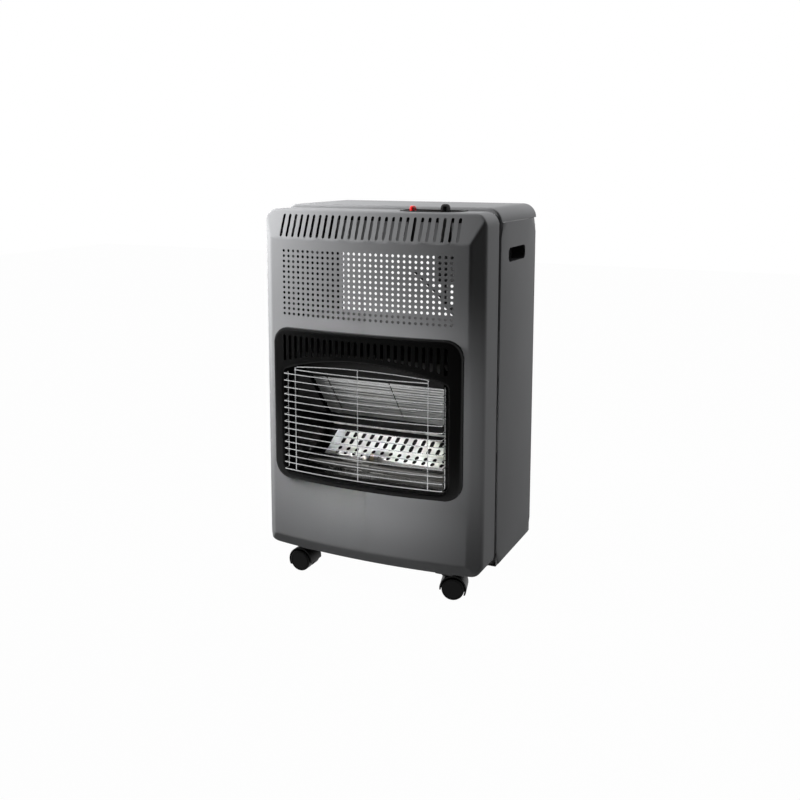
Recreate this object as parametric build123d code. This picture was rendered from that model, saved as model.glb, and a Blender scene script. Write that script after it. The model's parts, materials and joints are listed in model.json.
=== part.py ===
from build123d import *
import math
import os

# Portable gas cabinet heater. Millimetres, +Z up, +X to the right as seen from the front.
# Each piece is drawn in the heater's own frame: x = 0 is the middle, z = 0 is the floor, and
# y = 0 is the middle of the front panel's bowed face, with +Y towards the back. The whole heater
# is shifted along Y when it is saved, so that the saved origin is the middle of its footprint.

os.makedirs("parts", exist_ok=True)

# ---------------------------------------------------------------- driving dimensions
# Overall
HEIGHT = 735.0              # floor to the top of the lid
WIDTH = 456.0               # across the side panels
BODY_DEPTH = 326.3          # front face (middle) to the back edges of the side panels
BURNER_BELOW_LID = 530.0    # underside of the burner box below the top of the lid
SHEET = 1.0                 # casing steel
THIN_SHEET = 0.8            # inner steel
SEAT = 0.3                  # gap between neighbours that rest on each other
RUNNING = 0.05              # radial clearance of turning and sliding fits
HOLE_CLEARANCE = 0.1        # radial clearance of a screw or pipe in its hole
BURNER_Z = HEIGHT - BURNER_BELOW_LID    # heights at the window and the burner start here

# Casters
WHEEL_R = 21.5
WHEEL_WIDTH = 19.0
WHEEL_EDGE_R = 2.5
WHEEL_CAP = 3.0             # closed outer face of each wheel
WHEEL_DISH = 1.0            # ring recess in the outer face
WHEEL_RING = (0.80, 0.86)   # its inner and outer radius as shares of the wheel's
WEB = 6.0                   # hood web between the two wheels
WHEEL_SIDE_GAP = 0.5        # wheel to web
HOOD_GAP = 1.7              # wheel to hood roof
HOOD_WALL = 2.5
HOOD_TAIL_Z = 10.0          # the hood reaches lower behind the wheels than before them
HOOD_BOSS_R = 10.0
AXLE_R = 3.0
STEM_R = 4.0
STEM_DEPTH = 10.0           # stem length inside the hood
CASTER_TRAIL = 14.0         # stem axis to axle
SOCKET_FLANGE = 2.5
SOCKET_SIZE = 36.0
SOCKET_BOSS_R = 8.0
SOCKET_BOSS_H = 9.0         # above the tray floor
SOCKET_CAP = 2.0            # closed top of its bore
STEM_END_GAP = 0.5
CASTER_FROM_SIDE = 80.0     # stem axis in from the side panels
CASTER_FRONT_Y = 60.0
CASTER_REAR_INSET = 50.0    # stem axis in from the back edges

# Front panel
PANEL_SAG = 19.8            # bow of the face over the full width
PANEL_DEPTH = 101.0         # face to the back edge of its sides
PANEL_LIFT = 6.5            # its lower edge above the tray's underside
RIM_DROP = 6.5              # its top rim below the lid
PANEL_CORNER_R = 24.0
SIDE_BEVEL = 22.0           # width and depth of the bevel at each side
LOWER_BEVEL_H = 25.0
LOWER_BEVEL_D = 15.0
UPPER_SLOPE_H = 54.5        # slot band
UPPER_SLOPE_D = 22.0
CREST_R = 8.0               # rounding of the pressed edges
PANEL_LIP = 12.0            # return at the back edge
FLOOR_FLANGE = 15.0         # return under the lower bevel
PIERCE_DEPTH = 60.0         # longer than any wall that a cutter goes through
SWEEP_SPARE = 2.0           # degrees that the face is turned past its sides

# Slots and holes of the front panel
SLOT_COUNT = 27
SLOT_PITCH = 13.9
SLOT_WIDTH = 5.5
SLOT_LOW = 3.0              # above the start of the slope
SLOT_LENGTH = 42.6
HOLE_COLUMNS = 32
HOLE_ROWS = 13
HOLE_PITCH_X = 11.13
HOLE_PITCH_Z = 10.07
HOLE_R = 2.5
HOLES_BELOW_FIELD_TOP = 23.3    # top row below the start of the slope

# Front frame, between the front panel and the cabinet
FRAME_STEP = 12.7           # front panel's back edge to the cabinet
FRAME_INSET = 4.0           # in from the casing's outline
FRAME_BAR = 19.0
FRAME_SHEET = 1.2
FRAME_CORNER_R = 20.0
FRAME_TOP_RAISE = 0.5       # its upper edge above that inset

# Cabinet
LID_EDGE_R = 27.0
LID_ROLL_R = 5.0
LID_SKIRT = 4.0             # drawn below the lid's edge, then cut off
SIDE_FOOT = 1.0             # side panel's lower edge above the tray's underside
FOLD = 15.0                 # folded edges of the side panels
TRAY_SHEET = 1.2
TRAY_WALL = 30.0
TRAY_TONGUE_SPARE = 6.0     # its narrow front beside the front sockets
BRACE_HEIGHT = 68.0
BRACE_BELOW_LID = 45.0      # below the lid's top edge
BRACE_FLANGE = 12.0
HANDLE_LENGTH = 100.0
HANDLE_HEIGHT = 26.5
HANDLE_CORNER_R = 9.0
HANDLE_FROM_BACK = 118.8    # middle of the slot in front of the back edges
HANDLE_BELOW_LID = 62.8     # middle of the slot below the lid's lower edge
CUP_WALL = 1.5
CUP_DEPTH = 28.0
CUP_FLANGE = 6.0

# Bezel and its opening
OPENING_HALF_W = 171.7
BEZEL_BESIDE_OPENING = 24.6
BEZEL_HALF_W = OPENING_HALF_W + BEZEL_BESIDE_OPENING
BEZEL_LOW = BURNER_Z + 0.5
BEZEL_HIGH = BURNER_Z + 298.7
BEZEL_CORNER_R = 33.0
BEZEL_PROUD = 15.0          # its face in front of the panel's, at the middle
BEZEL_BOW_R = 930.0
BEZEL_WALL = 2.5
BEZEL_EDGE_R = 6.0
BEZEL_SLOTS = 26
BEZEL_SLOT_PITCH = 13.34
BEZEL_SLOT_WIDTH = 6.4
BEZEL_SLOT_TOP = 13.5       # below the bezel's upper edge
BEZEL_SLOT_ARCH_TOP = 11.5  # slot bottoms above the opening, at the middle
BEZEL_SLOT_ARCH_R = 643.0
OPENING_LOW = 13.5          # above the bezel's lower edge
OPENING_ARCH_LOW = BURNER_Z + 216.0
OPENING_ARCH_HIGH = BURNER_Z + 245.0
OPENING_LOWER_R = 20.0
OPENING_UPPER_R = 12.0
WINDOW_LAP = 12.3           # bezel over the edge of the panel's window
WINDOW_LOWER_LAP = 7.5
WINDOW_CORNER_R = 22.0
COLLAR_DEPTH = 22.7         # back edge of the bezel's collar

# Wire guard
WIRE_R = 1.5
GUARD_REACH = 22.0          # front wires in front of the panel's face, at the middle
GUARD_BOW_R = 1067.0
GUARD_SIDE_GAP = 7.7        # axis of its side wires to the side of the opening
GUARD_HALF_W = OPENING_HALF_W - GUARD_SIDE_GAP
GUARD_LOW = BURNER_Z + 23.4
GUARD_WIRES = 15
GUARD_PITCH = 13.47
GUARD_BEND_R = 4.0
GUARD_BACK_Y = 5.0          # side wires
GUARD_UPRIGHT_INSET = 26.5  # outer uprights in from the side wires
GUARD_UPRIGHT_BEND_R = 2.5
GUARD_SHORT_RISE = 9.5      # short wire above the top full wire
GUARD_ARCH_RISE = 13.0      # ends of the arched wire above the top full wire
GUARD_ARCH_CROWN = 7.5
GUARD_ARCH_SETBACK = 8.0
WIRE_GAP = 0.25             # between wires that are welded to each other
CLIP_HEIGHT = 9.0
CLIP_DEPTH = 7.0
CLIP_ZS = (BURNER_Z + 57.0, BURNER_Z + 179.0)

# Burner box
BOX_FRONT_Y = 23.0
BOX_BACK_Y = 172.0
BOX_BESIDE_OPENING = 2.3
BOX_HALF_W = OPENING_HALF_W + BOX_BESIDE_OPENING
BOX_LOW = BURNER_Z
BOX_HIGH = BURNER_Z + 310.0
EAR_HEIGHT = 20.0
EAR_ZS = (BURNER_Z + 45.0, BURNER_Z + 265.0)
EAR_MARGIN = 3.0            # ear to the front panel's return
ROOF_TOP_Z = BURNER_Z + 251.0
REFLECTOR_TOP = (78.0, BURNER_Z + 191.0)
REFLECTOR_BACK = (152.0, BURNER_Z + 99.0)
REFLECTOR_INSET = 25.0      # its ends in from the box's sides
REFLECTOR_RIBS = 8
REFLECTOR_RIB_R_SHARE = 0.20    # rib depth as a share of its half pitch
REFLECTOR_FLANGE = 8.0
REFLECTOR_SLITS_X = (-118.0, 18.0)
REFLECTOR_SLIT = 2.0
REFLECTOR_SLIT_END = 0.06   # share of the slope left whole at each end of a slit
REFLECTOR_SLIT_CUT = 4.0    # reach of the slit's cutter to each side of the sheet
SHIELD_LOW = BURNER_Z + 35.0
SHIELD_STANDOFF = 19.0      # from the box wall
SHIELD_ABOVE_TROUGH = 0.7   # its front flange above the trough's lip
SHIELD_BELOW_ROOF = 6.0

# Burner
BURNER_INSET = 34.0         # its ends in from the box's sides
BURNER_REAR_STEP = ((165.0, BURNER_Z + 61.0), (131.0, BURNER_Z + 41.5))
BURNER_FRONT_STEP = ((129.0, BURNER_Z + 37.0), (106.0, BURNER_Z + 27.5))
BURNER_PROFILE = (*BURNER_REAR_STEP, *BURNER_FRONT_STEP)
BURNER_SHEET = 1.2
BURNER_WALL = 1.5
BURNER_SLOTS = 13
BURNER_SLOT_PITCH = 19.0
BURNER_SLOT_WIDTH = 3.2
BURNER_SLOT_LENGTH = 13.0
BURNER_FRONT_SLOT_LENGTH = 9.1
BURNER_SLOT_CUT = 20.0      # height of a slot's cutter
BURNER_SLOT_ROWS = ((156.5, 1), (139.5, 1), (123.0, 0), (112.0, 0))
MESH_TOP = BURNER_Z + 75.5
MESH_INSET = 23.0
TROUGH_INSET = 9.0
TROUGH_CURVE_R = 17.0
TROUGH_LIP_Z = BURNER_Z + 12.0
TROUGH_SLOPE = 22.0         # width of its sloping front
TUBE_Y = 62.0
TUBE_Z = BURNER_Z + 23.0
TUBE_R = 7.0
TUBE_WALL = 1.0
TUBE_INSET = 24.0           # its closed end in from the box's side
STUB_X = -100.0
STUB_R = 6.0
STUB_DROP = 6.0             # stub axis below the mixing tube's axis
INJECTOR_R = 4.0
INJECTOR_HEX_R = 8.0
INJECTOR_HEX_L = 12.0

# Pilot light
PILOT_Y = 84.0
PILOT_X = -22.0
PILOT_PITCH = 17.0          # between pilot, thermocouple and electrode
PILOT_PLATE_T = 1.2
PILOT_CLAMP_T = 2.0
PILOT_CLAMP_W = 16.0
PILOT_R = 3.5
PILOT_COLLAR_R = 5.0
PILOT_COLLAR_H = 2.0
PILOT_BELOW = 9.0           # each item's reach below the plate
PILOT_ABOVE = 12.0
PILOT_PIPE_AT = (10.5, 9.0)     # behind the pilot's axis, and above the box floor
PROBE_LEAD_AT = (-2.0, 7.0)
SPARK_LEAD_AT = (5.5, 14.5)

# Controls
PLATE_FROM_BOX = 6.0        # its right edge in from the burner box's side
PLATE_LENGTH = 121.0
PLATE_FRONT_Y = 38.0
PLATE_REAR_MARGIN = 0.3     # in front of the rim's back edge
PLATE_CORNER_R = 34.0
PLATE_FLANGE_T = 1.5
PLATE_LAP = 4.0
PLATE_DISH = 9.0            # depth of the dish's underside below the rim
PLATE_WALL = 1.5
CONTROL_Y = 60.0
KNOB_FROM_PLATE_END = 28.5
BUTTON_FROM_PLATE_END = 28.2
KNOB_R = 8.75
KNOB_RISE = 15.4
KNOB_ABOVE_LID = 8.0
KNOB_CROWN_R = 6.5
KNOB_PUSH = 3.0
KNOB_WALL = 3.0             # above its bore
KNOB_PLAY = 1.0             # spindle's end to the bore's end with the knob pushed in
SPINDLE_R = 3.0
SPINDLE_FLAT = 0.8          # depth of the flat that turns the knob
VALVE_NECK_R = 7.0
VALVE_NUT_AF = 19.0
VALVE_NUT_H = 2.5
VALVE_SIZE = (30.0, 28.0, 50.0)
VALVE_NECK_L = 69.2         # shoulder to the top of its body
VALVE_COLLAR_R = 17.0
VALVE_COLLAR_H = 12.0
VALVE_NECK_LOWER_R = 12.0
PIEZO_R = 9.0
PIEZO_FLANGE_R = 12.0
PIEZO_FLANGE_T = 2.0
PIEZO_REACH = 67.5          # its body below the control plate
PIEZO_NUT_AF = 25.0
PIEZO_NUT_H = 5.0
TERMINAL_R = 3.0
TERMINAL_L = 8.0
BUTTON_R = 6.2
BUTTON_ABOVE_LID = 3.6
BUTTON_LENGTH = 34.0
BUTTON_EDGE_R = 4.5
BUTTON_PUSH = 6.0
BORE_END_GAP = 3.0          # left under the button when it is pushed in

# Gas inlet, pipes and leads
HOSE_SPIGOT_R = 4.25
HOSE_SPIGOT_L = 24.0
HOSE_HEX_AF = 14.0
HOSE_HEX_L = 10.0
HOSE_BORE_R = 2.0
GAS_PIPE_R = 4.0
PILOT_PIPE_R = 2.0
PROBE_LEAD_R = 1.25
SPARK_LEAD_R = 2.0
GAS_PIPE_DROP = 40.0        # straight run under the valve
GAS_PIPE_UPRIGHT_LOW = 10.0     # top of its upright run below the burner box's top
GAS_PIPE_END_RUN = 1.5      # straight run beside the injector
GAS_PIPE_BENDS = (12.0, 12.0, 12.0)
PORT_OFFSET_Y = 8.0         # side ports in front of and behind the valve's axis
PORT_OFFSET_Z = 30.0        # side ports above the valve's lower end
PILOT_PIPE_SHARE = 0.26     # its upright run's place between the box and the side panel
PILOT_PIPE_TURN = 30.0      # top of its upright run above the burner box's top
PILOT_PIPE_END = (16.0, 2.0)    # last run: beside the pilot's axis, and its rise
PROBE_LEAD_SHARE = 0.45
PROBE_LEAD_TURN = 20.0
THIN_PIPE_BENDS = (8.0, 8.0, 8.0, 5.0, 4.0)
SPARK_LEAD_SHARE = 0.60
SPARK_LEAD_DROP = 24.0      # straight run under the igniter's terminal
SPARK_LEAD_TURN = 20.0      # top of its upright run below the burner box's top
SPARK_LEAD_END = (18.0, 1.0)    # last run: beside the electrode's axis, and its rise
SPARK_LEAD_BENDS = (15.0, 40.0, 24.0, 6.0, 3.0)

# Screws
SCREW_R = 2.0
SCREW_HEAD_R = 4.0
SCREW_HEAD_H = 2.0
SCREW_LENGTH = 8.0
SCREW_EDGE = 9.0            # screw axis in from the side panel's outer face

# ---------------------------------------------------------------- sizes that follow
HALF_W = WIDTH / 2
CASTER_X = HALF_W - CASTER_FROM_SIDE
HOOD_R = WHEEL_R + HOOD_GAP + HOOD_WALL
CASTER_TOP = WHEEL_R + HOOD_R
SOCKET_LOW = CASTER_TOP + SEAT
TRAY_LOW = SOCKET_LOW + SOCKET_FLANGE
TRAY_FLOOR = TRAY_LOW + TRAY_SHEET
TRAY_FRONT_Y = CASTER_FRONT_Y - SOCKET_SIZE / 2
TONGUE_HALF_W = CASTER_X + SOCKET_SIZE / 2 + TRAY_TONGUE_SPARE

PANEL_LOW = TRAY_LOW + PANEL_LIFT
RIM_Z = HEIGHT - RIM_DROP
PANEL_R = (HALF_W**2 + PANEL_SAG**2) / (2 * PANEL_SAG)
FIELD_LOW = PANEL_LOW + LOWER_BEVEL_H
FIELD_HIGH = RIM_Z - UPPER_SLOPE_H
FIELD_HALF_W = HALF_W - SIDE_BEVEL
FIELD_EDGE_Y = PANEL_R - math.sqrt(PANEL_R**2 - FIELD_HALF_W**2)

FRAME_FRONT_Y = PANEL_DEPTH + SEAT
CABINET_FRONT_Y = PANEL_DEPTH + FRAME_STEP
FRAME_BACK_Y = CABINET_FRONT_Y - SEAT
FRAME_LOW = TRAY_FLOOR + SEAT
FRAME_HIGH = RIM_Z - FRAME_INSET + FRAME_TOP_RAISE
LID_LOW = HEIGHT - LID_EDGE_R
SIDE_HIGH = LID_LOW - SEAT
SIDE_LOW = TRAY_LOW + SIDE_FOOT
SIDE_INNER_X = HALF_W - SHEET
BACK_WEB_Y = BODY_DEPTH - SHEET - SEAT

BOX_INNER_X = BOX_HALF_W - SHEET
GUARD_UPRIGHT_X = GUARD_HALF_W - GUARD_UPRIGHT_INSET
REFLECTOR_HALF_W = BOX_HALF_W - REFLECTOR_INSET
BURNER_HALF_W = BOX_HALF_W - BURNER_INSET
MESH_HALF_W = BOX_HALF_W - MESH_INSET
TROUGH_HALF_W = BOX_HALF_W - TROUGH_INSET
TUBE_LEFT_X = TUBE_INSET - BOX_HALF_W
PLATE_RIGHT = BOX_HALF_W - PLATE_FROM_BOX
PLATE_LEFT = PLATE_RIGHT - PLATE_LENGTH
KNOB_X = PLATE_RIGHT - KNOB_FROM_PLATE_END
BUTTON_X = PLATE_LEFT + BUTTON_FROM_PLATE_END
SIDE_SPACE = SIDE_INNER_X - BOX_HALF_W
PILOT_PIPE_X = BOX_HALF_W + PILOT_PIPE_SHARE * SIDE_SPACE
PROBE_LEAD_X = BOX_HALF_W + PROBE_LEAD_SHARE * SIDE_SPACE
SPARK_LEAD_X = BOX_HALF_W + SPARK_LEAD_SHARE * SIDE_SPACE
BOX_FLOOR = BOX_LOW + SHEET
DISH_LOW = RIM_Z - PLATE_DISH
DISH_FLOOR = DISH_LOW + PLATE_WALL
KNOB_TOP = HEIGHT + KNOB_ABOVE_LID
KNOB_LOW = KNOB_TOP - KNOB_RISE
BUTTON_TOP = HEIGHT + BUTTON_ABOVE_LID
BUTTON_LOW = BUTTON_TOP - BUTTON_LENGTH
GUARD_HIGH = GUARD_LOW + (GUARD_WIRES - 1) * GUARD_PITCH
VALVE_SHOULDER = DISH_LOW - SEAT
VALVE_LOW = VALVE_SHOULDER - VALVE_NECK_L - VALVE_SIZE[2]
PIEZO_LOW = DISH_LOW - PIEZO_REACH

FRONT_REACH = -(GUARD_REACH + WIRE_R)
REAR_REACH = BODY_DEPTH + SCREW_HEAD_H
CENTRE_Y = (FRONT_REACH + REAR_REACH) / 2

PIECES = {}


# ---------------------------------------------------------------- helpers
def block(x0, x1, y0, y1, z0, z1):
    """A box between two corners."""
    return Pos((x0 + x1) / 2, (y0 + y1) / 2, (z0 + z1) / 2) * Box(x1 - x0, y1 - y0, z1 - z0)


def upright(radius, x, y, z0, z1):
    """A cylinder along Z."""
    return Pos(x, y, (z0 + z1) / 2) * Cylinder(radius, z1 - z0)


def along_y(radius, x, z, y0, y1):
    """A cylinder along Y."""
    return Pos(x, (y0 + y1) / 2, z) * Rot(90, 0, 0) * Cylinder(radius, y1 - y0)


def along_x(radius, y, z, x0, x1):
    """A cylinder along X."""
    return Pos((x0 + x1) / 2, y, z) * Rot(0, 90, 0) * Cylinder(radius, x1 - x0)


def elevation(sketch, y0, y1):
    """A sketch drawn as seen from the front, made solid from y0 back to y1."""
    return extrude(Plane((0, y1, 0), x_dir=(1, 0, 0), z_dir=(0, -1, 0)) * sketch, amount=y1 - y0)


def profile(points, half_width):
    """A side outline of (y, z) points, made solid across the middle of the heater."""
    face = make_face(Polyline(*points, close=True))
    return extrude(Plane.YZ * face, amount=half_width, both=True)


def rounded(width, low, high, radius):
    """A rounded rectangle between two heights, as seen from the front."""
    return Pos(0, (low + high) / 2) * RectangleRounded(width, high - low, radius)


def hexagon(across_flats):
    """A hexagonal sketch."""
    return RegularPolygon(across_flats / 2, 6, major_radius=False)


def pipe(radius, points, bends):
    """A round bar along straight runs joined by arcs."""
    path = FilletPolyline(*points, radius=bends)
    start = Vector(*points[0])
    direction = Vector(*points[1]) - start
    return sweep(Plane(start, z_dir=direction) * Circle(radius), path=path)


def mirrored(shape):
    """The same piece on the other side of the heater."""
    return mirror(shape, about=Plane.YZ)


def bowed(radius, front_y, low, high):
    """The round of a bowed face: a tall cylinder that touches front_y at the middle."""
    return upright(radius, 0, front_y + radius, low, high)


# ---------------------------------------------------------------- front panel
def panel_block(inset, back_y):
    """The front panel's outer form, moved in by inset, from its face to back_y."""
    half = HALF_W - inset
    high = RIM_Z - inset
    low = PANEL_LOW + inset
    reach = PANEL_DEPTH + PIERCE_DEPTH
    side_view = (
        (inset, FIELD_LOW),
        (inset, FIELD_HIGH),
        (inset + UPPER_SLOPE_D, high),
        (reach, high),
        (reach, low),
        (inset + LOWER_BEVEL_D, low),
    )
    axis = Axis((0, PANEL_R, 0), (0, 0, 1))
    sweep_half = math.degrees(math.asin(HALF_W / (PANEL_R - reach))) + SWEEP_SPARE
    face = Plane.YZ * make_face(Polyline(*side_view, close=True))
    turned = revolve(face.rotate(axis, -sweep_half), axis, 2 * sweep_half)

    # side bevels, at 45 degrees in plan
    edge_y = FIELD_EDGE_Y + SIDE_BEVEL + inset * math.tan(math.radians(45 / 2))
    run = edge_y + PIERCE_DEPTH
    plan = (
        (half, edge_y),
        (half, back_y),
        (-half, back_y),
        (-half, edge_y),
        (-half + run, edge_y - run),
        (half - run, edge_y - run),
    )
    plan_solid = extrude(make_face(Polyline(*plan, close=True)), amount=HEIGHT)
    corners = elevation(rounded(2 * half, low, high, PANEL_CORNER_R - inset), -PIERCE_DEPTH, back_y)
    body = turned & plan_solid & corners
    front_edges = body.edges().filter_by(lambda edge: edge.center().Y < edge_y + CREST_R
                                         and edge.bounding_box().max.Y < back_y - SHEET)
    return fillet(front_edges, CREST_R - inset)


def front_panel():
    """Pressed front: bowed face, bevels, slots, holes, window and the opening for the controls."""
    panel = panel_block(0, PANEL_DEPTH) - panel_block(SHEET, PANEL_DEPTH - SHEET)
    lip_corner = PANEL_CORNER_R - PANEL_LIP
    panel -= elevation(
        rounded(2 * (HALF_W - PANEL_LIP), PANEL_LOW + PANEL_LIP, RIM_Z - PANEL_LIP, lip_corner),
        PANEL_DEPTH - 2 * SHEET, PANEL_DEPTH + SHEET)

    holes_z = FIELD_HIGH - HOLES_BELOW_FIELD_TOP - (HOLE_ROWS - 1) * HOLE_PITCH_Z / 2
    holes = Pos(0, holes_z) * GridLocations(HOLE_PITCH_X, HOLE_PITCH_Z, HOLE_COLUMNS, HOLE_ROWS)
    panel -= elevation(Sketch() + [place * Circle(HOLE_R) for place in holes],
                       -SHEET, PIERCE_DEPTH / 2)

    slots_z = FIELD_HIGH + SLOT_LOW + SLOT_LENGTH / 2
    slots = Pos(0, slots_z) * GridLocations(SLOT_PITCH, 1, SLOT_COUNT, 1)
    panel -= elevation(
        Sketch() + [place * Rot(0, 0, 90) * SlotOverall(SLOT_LENGTH, SLOT_WIDTH) for place in slots],
        -SHEET, PIERCE_DEPTH)

    panel -= elevation(
        rounded(2 * (BEZEL_HALF_W - WINDOW_LAP), BEZEL_LOW + WINDOW_LOWER_LAP,
                BEZEL_HIGH - WINDOW_LAP, WINDOW_CORNER_R),
        -SHEET, PIERCE_DEPTH)

    panel -= block(-FIELD_HALF_W, FIELD_HALF_W, LOWER_BEVEL_D + FLOOR_FLANGE,
                   PANEL_DEPTH - PANEL_LIP, PANEL_LOW - SHEET, PANEL_LOW + 2 * SHEET)
    panel -= plate_outline(-PLATE_LAP + SEAT, RIM_Z - 2 * SHEET, RIM_Z + SHEET)
    return panel


# ---------------------------------------------------------------- front frame and cabinet
def front_frame():
    """Black channel ring between the front panel and the cabinet, open at the back."""
    half = HALF_W - FRAME_INSET
    inner = half - FRAME_BAR

    def ring(inset, y0, y1):
        outer = rounded(2 * (half - inset), FRAME_LOW + inset, FRAME_HIGH - inset,
                        FRAME_CORNER_R - inset)
        hole = rounded(2 * (inner + inset), FRAME_LOW + FRAME_BAR - inset,
                       FRAME_HIGH - FRAME_BAR + inset, FRAME_CORNER_R / 2 + inset)
        return elevation(outer - hole, y0, y1)

    return ring(0, FRAME_FRONT_Y, FRAME_BACK_Y) - ring(
        FRAME_SHEET, FRAME_FRONT_Y + FRAME_SHEET, FRAME_BACK_Y + FRAME_SHEET)


def handle_outline(grow):
    """The carrying slot as seen from the side, in (y, z)."""
    middle = (BODY_DEPTH - HANDLE_FROM_BACK, LID_LOW - HANDLE_BELOW_LID)
    return Pos(*middle) * RectangleRounded(
        HANDLE_LENGTH + 2 * grow, HANDLE_HEIGHT + 2 * grow, HANDLE_CORNER_R + grow)


def from_side(sketch, x0, x1):
    """A (y, z) sketch made solid from x0 to x1."""
    return extrude(Plane((x0, 0, 0), x_dir=(0, 1, 0), z_dir=(1, 0, 0)) * sketch, amount=x1 - x0)


def side_panel():
    """Right-hand cabinet side, with folded edges, the carrying slot and its screw holes."""
    panel = block(SIDE_INNER_X, HALF_W, CABINET_FRONT_Y, BODY_DEPTH, SIDE_LOW, SIDE_HIGH)
    fold_x = SIDE_INNER_X - FOLD
    panel += block(fold_x, HALF_W, CABINET_FRONT_Y, CABINET_FRONT_Y + SHEET,
                   TRAY_FLOOR + SEAT, SIDE_HIGH)
    panel += block(fold_x, HALF_W, BODY_DEPTH - SHEET, BODY_DEPTH, SIDE_LOW, SIDE_HIGH)
    panel += block(fold_x, HALF_W, CABINET_FRONT_Y, BODY_DEPTH, SIDE_HIGH - SHEET, SIDE_HIGH)
    panel -= from_side(handle_outline(0), SIDE_INNER_X - SHEET, HALF_W + SHEET)
    for z in panel_screw_heights():
        panel -= along_y(SCREW_R + HOLE_CLEARANCE, HALF_W - SCREW_EDGE, z,
                         BODY_DEPTH - 2 * SHEET, BODY_DEPTH + SHEET)
    return panel


def handle_cup():
    """Right-hand finger cup, behind the carrying slot."""
    face_x = SIDE_INNER_X - SEAT
    cup = from_side(handle_outline(CUP_FLANGE), face_x - CUP_WALL, face_x)
    cup += from_side(handle_outline(CUP_WALL), HALF_W - CUP_DEPTH, face_x)
    cup -= from_side(handle_outline(0), HALF_W - CUP_DEPTH + CUP_WALL, face_x + CUP_WALL)
    return cup


def lid():
    """Pressed lid, a pan that opens downwards, with rounded sides and a rolled front edge."""
    def pan(inset, y0, y1, low):
        half = HALF_W - inset
        top = HEIGHT - inset
        radius = LID_EDGE_R - inset
        outline = make_face([
            Line((-half, low), (-half, HEIGHT - LID_EDGE_R)),
            RadiusArc((-half, HEIGHT - LID_EDGE_R), (-half + radius, top), radius),
            Line((-half + radius, top), (half - radius, top)),
            RadiusArc((half - radius, top), (half, HEIGHT - LID_EDGE_R), radius),
            Line((half, HEIGHT - LID_EDGE_R), (half, low)),
            Line((half, low), (-half, low)),
        ])
        body = elevation(outline, y0, y1)
        roll = body.edges().filter_by(lambda edge: edge.bounding_box().max.Y < y0 + SHEET
                                      and edge.center().Z > low + SHEET
                                      and edge.bounding_box().min.Z > LID_LOW - SHEET)
        return fillet(roll, LID_ROLL_R - inset)

    shell = pan(0, CABINET_FRONT_Y, BODY_DEPTH, LID_LOW - LID_SKIRT)
    shell -= pan(SHEET, CABINET_FRONT_Y + SHEET, BODY_DEPTH - SHEET, LID_LOW - 2 * LID_SKIRT)
    return shell - block(-WIDTH, WIDTH, 0, 2 * BODY_DEPTH, LID_LOW - 2 * LID_SKIRT, LID_LOW)


def brace_span():
    """Lower and upper edge of the rear brace."""
    high = HEIGHT - BRACE_BELOW_LID
    return high - BRACE_HEIGHT, high


def panel_screw_heights():
    """Heights of the screws at each back edge: one in the tray, two in the brace."""
    low, high = brace_span()
    return (TRAY_LOW + TRAY_WALL / 2, low + BRACE_HEIGHT / 4, high - BRACE_HEIGHT / 4)


def rear_brace():
    """Channel across the back, under the lid."""
    low, high = brace_span()
    half = SIDE_INNER_X - SEAT
    web_y = BACK_WEB_Y - SHEET
    front_y = BACK_WEB_Y - BRACE_FLANGE
    brace = block(-half, half, web_y, BACK_WEB_Y, low, high)
    brace += block(-half, half, front_y, BACK_WEB_Y, low, low + SHEET)
    brace += block(-half, half, front_y, BACK_WEB_Y, high - SHEET, high)
    for z in panel_screw_heights()[1:]:
        for side in (-1, 1):
            brace -= along_y(SCREW_R + HOLE_CLEARANCE, side * (HALF_W - SCREW_EDGE), z,
                             web_y - SHEET, BACK_WEB_Y + SHEET)
    return brace


def socket_screw_places():
    """Middle of each socket screw."""
    reach = SOCKET_SIZE / 2 - SCREW_HEAD_R
    return [(x + dx * reach, y + dy * reach)
            for x, y in caster_places().values() for dx, dy in ((-1, -1), (1, 1))]


def base_tray():
    """Floor of the cabinet, with a wall at each side and at the back, and a narrower front."""
    half = SIDE_INNER_X - SEAT
    back = BACK_WEB_Y
    high = TRAY_LOW + TRAY_WALL
    tray = block(-half, half, CABINET_FRONT_Y, back, TRAY_LOW, TRAY_FLOOR)
    tray += block(-TONGUE_HALF_W, TONGUE_HALF_W, TRAY_FRONT_Y, CABINET_FRONT_Y, TRAY_LOW, TRAY_FLOOR)
    wall_front = CABINET_FRONT_Y + SHEET + SEAT
    for side in (-1, 1):
        outer = side * half
        inner = side * (half - TRAY_SHEET)
        tray += block(min(outer, inner), max(outer, inner), wall_front, back, TRAY_LOW, high)
    tray += block(-half, half, back - TRAY_SHEET, back, TRAY_LOW, high)
    for side in (-1, 1):
        tray -= along_y(SCREW_R + HOLE_CLEARANCE, side * (HALF_W - SCREW_EDGE),
                        panel_screw_heights()[0], back - 2 * TRAY_SHEET, back + SHEET)
    for x, y in caster_places().values():
        tray -= upright(SOCKET_BOSS_R + SEAT, x, y, TRAY_LOW - SHEET, TRAY_FLOOR + SHEET)
    for x, y in socket_screw_places():
        tray -= upright(SCREW_R + HOLE_CLEARANCE, x, y, TRAY_LOW - SHEET, TRAY_FLOOR + SHEET)
    return tray


def panel_screws():
    """Screws at the back edges, through the side panels into the brace and the tray."""
    screws = []
    for side in (-1, 1):
        for z in panel_screw_heights():
            x = side * (HALF_W - SCREW_EDGE)
            shank = along_y(SCREW_R, x, z, BODY_DEPTH - SCREW_LENGTH, BODY_DEPTH)
            screws.append(shank + along_y(SCREW_HEAD_R, x, z, BODY_DEPTH, REAR_REACH))
    return screws


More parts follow.
